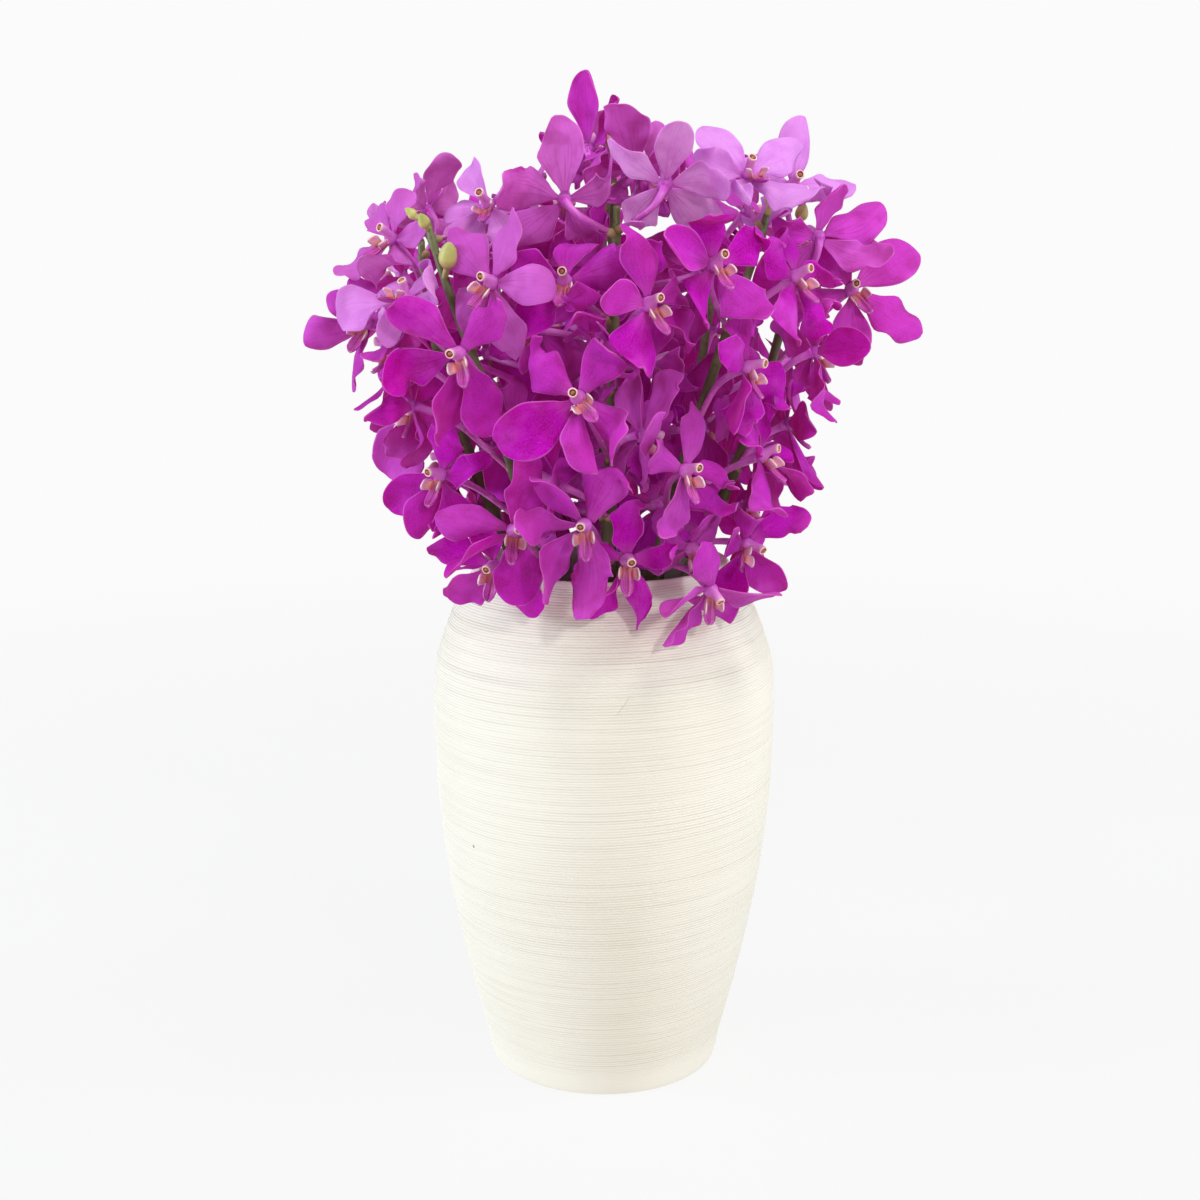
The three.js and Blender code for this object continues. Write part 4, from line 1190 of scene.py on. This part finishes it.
def add_mosaic(tree, place, cells_a_metre):
    """The cell mosaic in a finish: its painted sparkle and its height."""
    node = add_node(tree, "ShaderNodeGroup", {0: place, 1: cells_a_metre},
                    node_tree=cell_mosaic)
    return node.outputs[0], node.outputs[1]


def colour_steps(tree, value, stops):
    """Colours along a value: stops are (place, colour)."""
    node = add_node(tree, "ShaderNodeValToRGB", {0: value})
    ramp = node.color_ramp
    while len(ramp.elements) < len(stops):
        ramp.elements.new(0.5)
    for element, (place, colour) in zip(ramp.elements, stops):
        element.position = place
        element.color = (*colour, 1)
    return node.outputs[0]


def from_middle(tree, across):
    """How far a point is from the middle line of a blade: 0 there and 0.5 at the rims."""
    return calculate(tree, "ABSOLUTE", calculate(tree, "SUBTRACT", across, 0.5))


print("node group:", cell_mosaic.name)

# %% [markdown]
# The petal's finish reads how the petal grew: across and along it from the UV map, its paleness
# and its side from attributes. The front is a strong magenta. The back is a paler lilac, and so
# are the pale blooms: partly their own paler colour, partly painted light on the blooms high in
# the bunch, where the light from above falls. Broad lighter washes and smaller deep clouds make
# the tone uneven, fine veins run from the claw and fade to the tip, the claw is lighter, and the
# rim has a thin pale line. The cells add a painted sparkle. Some of the light goes through, so a
# petal glows a little when the lamp is behind it.

# %% Petal finish
MAGENTA = (0.58, 0.002, 0.60, 1)
MAGENTA_LIGHT = (0.80, 0.10, 0.84, 1)
MAGENTA_DEEP = (0.35, 0.001, 0.22, 1)
MAGENTA_GLOW = (0.86, 0.001, 0.28, 1)
MAGENTA_BACK = (0.70, 0.020, 0.71, 1)
LILAC = (0.86, 0.42, 0.90, 1)
LILAC_BACK = (0.96, 0.64, 0.98, 1)
LILAC_DEEP = (0.72, 0.24, 0.76, 1)
PAINTED_CELL_SPARKLE = (0.86, 0.13, 0.86, 1)
CLAW_PINK = (0.70, 0.12, 0.64, 1)
RIM_PINK = (0.90, 0.36, 0.86, 1)
SHINE_PINK = (1.0, 0.35, 1.0, 1)
DOWN_PINK = (0.9, 0.5, 1.0, 1)
GLOW = 0.36
PETAL_CELLS = 1900
VEIN_STRETCH = (20, 1.3, 1)

petal_finish, tree, shader = new_finish("mokara_petal")
place = object_place(tree)
growth, across, along = growth_place(tree)
# Paleness: partly each bloom's own paler colour, partly painted light from above.
pale_and_painted_light = point_value(tree, "pale_and_painted_light")
front_tone = mix_colour(tree, pale_and_painted_light, MAGENTA, LILAC)
back_tone = mix_colour(tree, pale_and_painted_light, MAGENTA_BACK, LILAC_BACK)
light_tone = mix_colour(tree, pale_and_painted_light, MAGENTA_LIGHT, LILAC)
deep_tone = mix_colour(tree, pale_and_painted_light, MAGENTA_DEEP, LILAC_DEEP)
washes = add_noise(tree, place, 55.0, 3.0)
clouds = add_noise(tree, place, 130.0, 4.0)
veins = add_noise(tree, stretched(tree, growth, VEIN_STRETCH), 1.0, 3.0, Distortion=0.4)
vein = map_value(tree, veins, 0.5, 0.66)
rim = calculate(tree, "MAXIMUM", map_value(tree, from_middle(tree, across), 0.472, 0.49),
                map_value(tree, along, 0.982, 0.995))
painted_sparkle, dome = add_mosaic(tree, place, PETAL_CELLS)

tone = mix_colour(tree, point_value(tree, "back"), front_tone, back_tone)
tone = layer_colours(tree, tone, [
    (map_value(tree, washes, 0.48, 0.7, 0.0, 0.6), light_tone),
    (map_value(tree, clouds, 0.42, 0.7, 0.0, 0.55), deep_tone),
    (multiply(tree, vein, map_value(tree, along, 0.05, 0.95, 0.65, 0.22)), deep_tone),
    (map_value(tree, along, 0.0, 0.26, 0.55, 0.0), CLAW_PINK),
    (multiply(tree, rim, 0.36), RIM_PINK),
    # Painted sparkle: lighter dots on the cells, where they would catch the light.
    (multiply(tree, painted_sparkle, 0.36), PAINTED_CELL_SPARKLE),
])
height = calculate(tree, "ADD", multiply(tree, dome, 0.5), vein)
set_inputs(tree, shader, {
    "Base Color": tone,
    "Roughness": map_value(tree, clouds, 0.3, 0.7, 0.42, 0.56),
    "Normal": add_bump(tree, height, 0.36, 0.00018),
    "Specular IOR Level": 0.10,
    "Specular Tint": SHINE_PINK,
    "Sheen Weight": 0.18,
    "Sheen Roughness": 0.35,
    "Sheen Tint": DOWN_PINK,
})
glow_tone = mix_colour(tree, pale_and_painted_light, MAGENTA_GLOW, tone)
through = add_node(tree, "ShaderNodeBsdfTranslucent", {"Color": glow_tone}).outputs[0]
both = add_node(tree, "ShaderNodeMixShader", {0: GLOW, 1: shader.outputs[0], 2: through})
output = next(node for node in tree.nodes if node.type == "OUTPUT_MATERIAL")
set_inputs(tree, output, {"Surface": both.outputs[0]})
print("finish:", petal_finish.name, "with", len(tree.nodes), "nodes")

# %% [markdown]
# Now the petals of each spray become one piece, which stands for that spray's node. Each bloom is
# a little paler or deeper than its list says, and so is each of its petals.

# %% Petals of each spray
PETAL_SEED = 12
BLOOM_TINT = 0.4
PETAL_TINT = 0.08

rng = np.random.default_rng(PETAL_SEED)
uv = sheet_uv((COLUMNS + 1) / 2, ROWS)
for one in SPRAYS:
    points = close_ends(thick_sheets(petal_sheets(one["blooms"], rng), PETAL_THICKNESS))
    pale_values = []
    for index, flower in enumerate(one["blooms"]):
        own = slice(TEPALS * index, TEPALS * (index + 1))
        points[own] = keep_inside(points[own], flower)
        tint = flower["pale_and_painted_light"] + rng.uniform(0, BLOOM_TINT) ** 2
        tint = tint + rng.uniform(-PETAL_TINT, PETAL_TINT, (TEPALS, 1))
        pale_values.append(np.clip(np.repeat(tint, points.shape[1], 1), 0, 1))
    paint = {"pale_and_painted_light": np.concatenate(pale_values), "back": np.tile(back_values, len(points))}
    add_spray_piece("petals", one, [(points, *petal_faces, uv)], petal_finish, paint)
print("petals of", len(SPRAYS), "sprays")

# %% [markdown]
# In the heart of a mokara the male and female parts are grown together into a column: a stout
# peg that leans forward. It is a ring profile carried along a bent path, and the profile turns
# back inside at the tip to make a hollow with the anther in it.

# %% Shape of a column
COLUMN_PROFILE = [
    (-1.8, 1.0), (-1.1, 2.0), (-0.2, 2.8), (0.7, 2.85), (1.5, 2.3), (2.7, 1.8), (4.2, 1.55),
    (5.6, 1.55), (6.6, 1.68), (7.2, 1.74), (7.6, 1.55), (7.55, 1.22), (7.0, 1.05), (6.4, 0.9),
]
COLUMN_SIDES = 14
COLUMN_REACH = 8.0
COLUMN_RISE = 2.0
COLUMN_NOD = 0.62 * math.pi
SHORT_STEP = 0.05
ANTHER_PLACE = 7.0
ANTHER_SIZE = (0.85, 0.75, 0.75)
ANTHER_ROWS = 6
ANTHER_SIDES = 8
ANTHER_ALONG = (0.8, 0.9)
FIRST_RING = 0.3


def column_middle(reach):
    """The middle of the column at some reach from the heart: it rises and then nods."""
    reach = np.asarray(reach, float)
    rise = COLUMN_RISE * np.sin(COLUMN_NOD * np.maximum(reach, 0) / COLUMN_REACH)
    return np.stack([0 * reach, rise, reach], -1)


def column_rings():
    """The rings of a column, in the bloom's own right, up and forward. A ring is square to the
    path at its reach."""
    reach, radius = np.array(COLUMN_PROFILE).T
    ahead = unit(column_middle(reach + SHORT_STEP) - column_middle(reach - SHORT_STEP))
    right = np.tile([1.0, 0, 0], (len(reach), 1))
    up = np.cross(ahead, right)
    angle = np.linspace(0, 2 * math.pi, COLUMN_SIDES, endpoint=False)[None, :, None]
    centre = column_middle(reach)[:, None]
    radius = radius[:, None, None]
    return centre + right[:, None] * radius * np.cos(angle) + up[:, None] * radius * np.sin(angle)


def ball_rings(centre, size, rows, sides):
    """The rings of an egg shape: a circle's sine and cosine, scaled to its three sizes."""
    tilt = np.linspace(FIRST_RING, math.pi - FIRST_RING, rows)[:, None]
    angle = np.linspace(0, 2 * math.pi, sides, endpoint=False)[None]
    shape = np.stack([np.sin(tilt) * np.cos(angle), np.sin(tilt) * np.sin(angle),
                      -np.cos(tilt) + 0 * angle], -1)
    return np.array(centre) + shape * np.array(size)


def middle_turn(aim):
    """The clockwise turn of a bloom: the middle of how far each tepal is turned."""
    turns = [(angle - plain + 540) % 360 - 180 for angle, plain in zip(aim, TEPAL_AIM)]
    return sum(turns) / len(turns)


def placed(points, flower):
    """Points given in a bloom's own right, up and forward, turned with it and set in place."""
    right, up, face = (np.array(axis) for axis in bloom_frame(flower))
    roll = math.radians(-middle_turn(flower["aim"]))
    turned_right = right * math.cos(roll) + up * math.sin(roll)
    turned_up = up * math.cos(roll) - right * math.sin(roll)
    world = (np.array(flower["heart"]) + points[..., :1] * turned_right
             + points[..., 1:2] * turned_up + points[..., 2:] * face)
    return keep_inside(world, flower)


def on_each_bloom(points, one):
    """Copies of a shape's points, one on each bloom of a spray."""
    return np.concatenate([placed(points, flower) for flower in one["blooms"]])


column_shape = close_ends(column_rings()[None])
column_faces = skin_faces(len(COLUMN_PROFILE), COLUMN_SIDES)
column_uv = row_uv(len(COLUMN_PROFILE), COLUMN_SIDES)
anther_middle = column_middle(ANTHER_PLACE)
anther_rings = ball_rings(anther_middle, ANTHER_SIZE, ANTHER_ROWS, ANTHER_SIDES)
anther_shape = close_ends(anther_rings[None])
anther_faces = skin_faces(ANTHER_ROWS, ANTHER_SIDES)
anther_uv = row_uv(ANTHER_ROWS, ANTHER_SIDES, *ANTHER_ALONG)
print("points of a column:", column_shape.shape[1])

# %% [markdown]
# The column is lilac at its foot and cream at its tip, where a ring frames the rust-brown hollow.
# A fine noise keeps the steps between these colours from being straight.

# %% Columns
SMALL_CELLS = 2400
COLUMN_SHEEN = (0.95, 0.85, 0.9, 1)

column_finish, tree, shader = new_finish("orchid_column")
place = object_place(tree)
_, _, along = growth_place(tree)
wander = add_noise(tree, place, 900.0, 2.0)
shift = multiply(tree, calculate(tree, "SUBTRACT", wander, 0.5), 0.08)
tone = colour_steps(tree, calculate(tree, "ADD", along, shift), [
    (0.0, (0.50, 0.04, 0.46)), (0.26, (0.58, 0.09, 0.54)), (0.5, (0.66, 0.19, 0.58)),
    (0.66, (0.74, 0.34, 0.58)), (0.74, (0.80, 0.52, 0.50)), (0.83, (0.80, 0.58, 0.42)),
    (0.88, (0.42, 0.10, 0.06)), (1.0, (0.16, 0.015, 0.015))])
painted_sparkle, dome = add_mosaic(tree, place, SMALL_CELLS)
# A painted sheen: lighter dots on the cells of the column.
set_inputs(tree, shader, {
    "Base Color": mix_colour(tree, multiply(tree, painted_sparkle, 0.15), tone, COLUMN_SHEEN),
    "Roughness": map_value(tree, wander, 0.3, 0.7, 0.3, 0.45),
    "Normal": add_bump(tree, dome, 0.3, 0.0001),
})
for one in SPRAYS:
    skins = [(on_each_bloom(column_shape, one), *column_faces, column_uv),
             (on_each_bloom(anther_shape, one), *anther_faces, anther_uv)]
    add_spray_piece("columns", one, skins, column_finish)
print("columns of", len(SPRAYS), "sprays")

# %% [markdown]
# Below the column hangs the lip, the petal that insects land on. Two upright side lobes stand
# like small square ears on either side. Between them the middle lobe reaches forward and down, a
# thick trough. Each lobe is one thick sheet.

# %% Shape of a lip
EAR_ROWS = 6
EAR_COLUMNS = 7
EAR_START = (1.7, -2.0, 1.8)
EAR_END = (2.0, -5.4, 4.4)
EAR_WAY = (0.46, 0.3, 0.84)
EAR_LENGTH = 4.0
EAR_WIDTH_AT_FOOT = 0.85
EAR_WIDENING = 0.3
EAR_ROUNDING = 0.2
EAR_BOW = 0.7
EAR_THICKNESS = 0.5
TONGUE_PATH = [(0, -1.2, 0.6), (0, -3.4, 1.9), (0, -5.6, 3.2), (0, -7.8, 4.8), (0, -9.6, 6.6),
               (0, -10.5, 7.9)]
TONGUE_HALF = [1.5, 1.9, 2.3, 2.7, 2.3, 1.0]
TONGUE_ROWS = 11
TONGUE_COLUMNS = 11
TONGUE_THICKNESS = 0.75
TROUGH = 1.1
KEEL = 0.25


def ear_sheet(side):
    """A side lobe: a strip along the edge of the trough, carried outward and forward. It widens
    on the way, and its far corners are rounded off by the fourth power of the column."""
    start, end, way = (np.array(place) * (side, 1, 1) for place in (EAR_START, EAR_END, EAR_WAY))
    share = np.linspace(0, 1, EAR_ROWS)[:, None, None]
    column = np.linspace(-1, 1, EAR_COLUMNS)[None, :, None]
    widening = EAR_WIDTH_AT_FOOT + EAR_WIDENING * share
    spread = (start + end) / 2 + (end - start) / 2 * column * widening
    reach = share * (1 - EAR_ROUNDING * column ** 4)
    bow = np.array([side, 0, 0]) * EAR_BOW * np.sin(math.pi * share) * (1 - column ** 2)
    return (spread + way * EAR_LENGTH * reach + bow)[None]


def tongue_sheet():
    """The middle lobe: half widths across a path that runs forward and down, with raised sides
    (the square of the column) and two low keels (a cosine) along the trough."""
    path = np.array(TONGUE_PATH, float)
    share = np.linspace(0, 1, TONGUE_ROWS)
    middle = smooth_steps(share, path[None])[0]
    half = np.interp(share, np.linspace(0, 1, len(TONGUE_HALF)), TONGUE_HALF)
    slope = unit(np.gradient(middle, axis=0))
    inward = np.cross([1.0, 0, 0], slope) * -1
    column = np.linspace(-1, 1, TONGUE_COLUMNS)
    lift = TROUGH * column ** 2 - KEEL * np.cos(3 * math.pi * column) * (1 - column ** 2)
    return (middle[:, None] + np.array([1.0, 0, 0]) * (half[:, None] * column)[..., None]
            + inward[:, None] * lift[None, :, None])[None]


def lobe(sheets, thickness, rows, columns):
    """The points of a lip's thick sheets, and their faces and UV."""
    uv = sheet_uv(np.linspace(0, 1, columns), np.linspace(0, 1, rows))
    faces = skin_faces(rows, 2 * columns - 2)
    return close_ends(thick_sheets(sheets, thickness)), (*faces, uv)


ears = np.concatenate([ear_sheet(1)[:, :, ::-1], ear_sheet(-1)])
ear_shapes, ear_skin = lobe(ears, EAR_THICKNESS, EAR_ROWS, EAR_COLUMNS)
tongue_shape, tongue_skin = lobe(tongue_sheet(), TONGUE_THICKNESS, TONGUE_ROWS, TONGUE_COLUMNS)
print("points of a lip:", 2 * ear_shapes.shape[1] + tongue_shape.shape[1])

# %% [markdown]
# The side lobes are salmon-cream with a pale rim. The middle lobe is magenta, orange where it
# begins, with crimson stripes along it. A value at the points tells the two apart.

# %% Lips
EAR_RIM = (0.84, 0.66, 0.56, 1)
STRIPE_CRIMSON = (0.28, 0.0, 0.10, 1)
STRIPE_STRETCH = (9, 0.6, 1)
LIP_SHEEN = (0.95, 0.7, 0.8, 1)

lip_finish, tree, shader = new_finish("orchid_lip")
place = object_place(tree)
growth, across, along = growth_place(tree)
ear_tone = colour_steps(tree, along, [
    (0.0, (0.66, 0.16, 0.05)), (0.25, (0.68, 0.24, 0.26)), (0.6, (0.66, 0.24, 0.40)),
    (0.9, (0.72, 0.34, 0.46)), (1.0, (0.84, 0.66, 0.58))])
ear_rim = map_value(tree, from_middle(tree, across), 0.42, 0.48)
ear_tone = mix_colour(tree, ear_rim, ear_tone, EAR_RIM)
tongue_tone = colour_steps(tree, along, [
    (0.0, (0.62, 0.20, 0.02)), (0.2, (0.58, 0.14, 0.18)), (0.45, (0.54, 0.05, 0.38)),
    (0.8, (0.54, 0.03, 0.44)), (1.0, (0.66, 0.14, 0.58))])
stripes = add_noise(tree, stretched(tree, growth, STRIPE_STRETCH), 1.4, 2.0)
stripe = multiply(tree, map_value(tree, stripes, 0.48, 0.56), map_value(tree, along, 0.1, 0.3))
tongue_tone = mix_colour(tree, multiply(tree, stripe, 0.8), tongue_tone, STRIPE_CRIMSON)
tone = mix_colour(tree, point_value(tree, "tongue"), ear_tone, tongue_tone)
painted_sparkle, dome = add_mosaic(tree, place, SMALL_CELLS)
# A painted sheen: lighter dots on the cells of the lip.
set_inputs(tree, shader, {
    "Base Color": mix_colour(tree, multiply(tree, painted_sparkle, 0.14), tone, LIP_SHEEN),
    "Roughness": map_value(tree, stripes, 0.3, 0.7, 0.32, 0.5),
    "Normal": add_bump(tree, dome, 0.3, 0.0001),
})
for one in SPRAYS:
    ear_points = on_each_bloom(ear_shapes, one)
    tongues = on_each_bloom(tongue_shape, one)
    tongue_paint = np.concatenate([np.zeros(ear_points[..., 0].size),
                                   np.ones(tongues[..., 0].size)])
    skins = [(ear_points, *ear_skin), (tongues, *tongue_skin)]
    add_spray_piece("lips", one, skins, lip_finish, {"tongue": tongue_paint})
print("lips of", len(SPRAYS), "sprays")

# %% [markdown]
# A pedicel is the flower's stalk and its ovary in one: magenta-pink, with six ribs that wind
# round it, thin at the stem and thicker toward the bloom. A small dry scale, the bract, cups its
# foot.

# %% Pedicels and bracts
PEDICEL_ROWS = 16
PEDICEL_SIDES = 18
PEDICEL_FOOT = 0.95
PEDICEL_GAIN = 0.35
PEDICEL_END_SWELL = 0.75
BRACT_LENGTH = 3.9
BRACT_SIDES = 10
BRACT_RADII = [1.6, 1.8, 1.7, 1.45, 1.1]
PEDICEL_FLECK = (0.78, 0.24, 0.70, 1)
BRACT_FLECK = (0.20, 0.11, 0.04, 1)
STALK_STRETCH = (16, 3, 1)
PEDICEL_RIBS = {"ribs": 6, "rib_depth": 0.09, "twist": 1.6}
BRACT_RIBS = {"ribs": 3, "rib_depth": 0.08}


def pedicels(one, right):
    """The paths and the rings of a spray's pedicels: six ribs on a radius that grows toward the
    bloom, most of all where it ends."""
    knots = np.array([pedicel_path(one, flower) for flower in one["blooms"]])
    share = np.linspace(0, 1, PEDICEL_ROWS)
    paths = smooth_steps(share, knots)
    radius = PEDICEL_FOOT + PEDICEL_GAIN * share + PEDICEL_END_SWELL * share ** 7
    return paths, tubes(paths, radius[None], PEDICEL_SIDES, right, **PEDICEL_RIBS)


def bracts(paths, right):
    """The rings of a spray's bracts: a cup on the first stretch of each pedicel, from inside the
    stem outward."""
    foot = paths[:, 0]
    ahead = unit(paths[:, 2] - foot)
    share = np.linspace(0, 1, len(BRACT_RADII))
    middles = foot[:, None] + ahead[:, None] * (share * BRACT_LENGTH)[None, :, None]
    return tubes(middles, np.array([BRACT_RADII]), BRACT_SIDES, right, **BRACT_RIBS)


def stalk_finish(name, stops, fleck, rough):
    """A finish for a stalk: colours along it, fine flecks, and long streaks in the bump."""
    material, tree, shader = new_finish(name)
    growth, _, along = growth_place(tree)
    flecks = add_noise(tree, object_place(tree), 420.0, 3.0)
    fleck_share = map_value(tree, flecks, 0.5, 0.7, 0.0, 0.6)
    streaks = add_noise(tree, stretched(tree, growth, STALK_STRETCH), 1.0, 3.0)
    set_inputs(tree, shader, {
        "Base Color": mix_colour(tree, fleck_share, colour_steps(tree, along, stops), fleck),
        "Roughness": map_value(tree, flecks, 0.3, 0.7, rough - 0.06, rough + 0.08),
        "Normal": add_bump(tree, streaks, 0.4, 0.0003),
    })
    return material


pedicel_finish = stalk_finish("orchid_pedicel", [
    (0.0, (0.34, 0.18, 0.12)), (0.12, (0.50, 0.10, 0.34)), (0.4, (0.62, 0.09, 0.52)),
    (0.8, (0.70, 0.14, 0.64)), (1.0, (0.60, 0.03, 0.54))], PEDICEL_FLECK, 0.42)
bract_finish = stalk_finish("orchid_bract", [
    (0.0, (0.14, 0.10, 0.04)), (0.5, (0.30, 0.20, 0.08)), (1.0, (0.46, 0.32, 0.15))],
    BRACT_FLECK, 0.6)
for one in SPRAYS:
    right = np.array([bloom_frame(flower)[0] for flower in one["blooms"]])
    paths, rings = pedicels(one, right)
    add_spray_piece("pedicels", one, [tube_skin(rings)], pedicel_finish)
    add_spray_piece("bracts", one, [tube_skin(bracts(paths, right))], bract_finish)
print("pedicels and bracts of", len(SPRAYS), "sprays")

# %% [markdown]
# The stem is olive green, browned by the light, a little over five millimetres thick at the vase
# and half that at its tip. It swells at each joint where a pedicel leaves it.

# %% Stems
STEM_ROWS = 150
STEM_SIDES = 14
JOINT_SWELL = 0.5
JOINT_LENGTH = 1.8
WANDER_DEPTH = 0.07
WANDER_LENGTH = 5.1
STEM_RIBS = {"ribs": 5, "rib_depth": 0.03, "twist": 2.0}
STEM_REFERENCE = np.array([[1.0, 0, 0]])
STEM_FLECK = (0.08, 0.05, 0.022, 1)


def stem_rings(one, rng):
    """The rings of a stem: a radius that tapers above the mouth, plus a bell curve at each joint
    and a slow wander."""
    heights = np.linspace(FLOOR + GAP, one["top"], STEM_ROWS)
    path = np.array([stem_at(one, height) for height in heights])
    share = np.clip((heights - MOUTH_HEIGHT) / (one["top"] - MOUTH_HEIGHT), 0, 1)
    radius = STEM_RADIUS + (STEM_TIP_RADIUS - STEM_RADIUS) * share
    joints = np.array([pedicel_path(one, flower)[0].z for flower in one["blooms"]])
    swell = np.exp(-((heights[:, None] - joints[None]) / JOINT_LENGTH) ** 2).max(1)
    radius = radius + JOINT_SWELL * swell * (heights > MOUTH_HEIGHT)
    radius = radius + WANDER_DEPTH * np.sin(heights / WANDER_LENGTH + rng.uniform(0, 6))
    return tubes(path[None], radius[None], STEM_SIDES, STEM_REFERENCE, **STEM_RIBS)


stem_finish = stalk_finish("orchid_stem", [
    (0.0, (0.12, 0.15, 0.04)), (0.55, (0.10, 0.12, 0.03)), (0.75, (0.095, 0.085, 0.03)),
    (1.0, (0.13, 0.14, 0.045))], STEM_FLECK, 0.5)
for one in SPRAYS:
    add_spray_piece("stem", one, [tube_skin(stem_rings(one, rng))], stem_finish)
print("stems:", len(SPRAYS))

# %% [markdown]
# At the tip of a spray sit the buds that hadn't opened: pointed eggs, yellow-green, with three
# soft seams where the closed sepals meet.

# %% Buds
BUD_RADIUS = 3.6
BUD_LENGTH = 10
BUD_NOD = 25
BUD_ROWS = 22
BUD_SIDES = 15
EGG_FROM = 0.3
EGG_LEAN = 0.72
EGG_FULLNESS = 0.8
BUD_STALK = 0.95
BUD_POINT = 0.25
BUD_SEAMS = {"ribs": 3, "rib_depth": 0.06}
BUD_REFERENCE = np.array([[1.0, 0.2, 0]])
BUD_FLECK = (0.62, 0.48, 0.26, 1)


def bud_rings(one, below, turn, tilt, stalk, size):
    """The rings of one bud: a short stalk, then an egg whose radius is a sine that leans toward
    the stalk, with three seams."""
    root = stem_at(one, one["top"] - below)
    neck = root + facing(turn, tilt) * stalk
    far = neck + facing(turn, tilt + BUD_NOD) * BUD_LENGTH * size
    share = np.linspace(0, 1, BUD_ROWS)
    path = smooth_steps(share, np.array([[root, neck, neck.lerp(far, 0.5), far]]))
    egg = np.clip((share - EGG_FROM) / (1 - EGG_FROM), 0, 1)
    radius = BUD_RADIUS * size * np.sin(math.pi * egg ** EGG_LEAN) ** EGG_FULLNESS
    radius = np.where(egg > 0, radius, 0)
    radius = np.maximum(radius, BUD_STALK * (1 - egg) + BUD_POINT)
    return tubes(path, radius[None], BUD_SIDES, BUD_REFERENCE, **BUD_SEAMS)


bud_finish = stalk_finish("orchid_bud", [
    (0.0, (0.30, 0.28, 0.08)), (0.3, (0.44, 0.38, 0.12)), (0.6, (0.54, 0.52, 0.14)),
    (1.0, (0.33, 0.40, 0.08))], BUD_FLECK, 0.45)
for one in SPRAYS:
    rings = [bud_rings(one, *bud) for bud in one["buds"]]
    if rings:
        add_spray_piece("buds", one, [tube_skin(np.concatenate(rings))], bud_finish)
print("buds:", sum(len(one["buds"]) for one in SPRAYS))
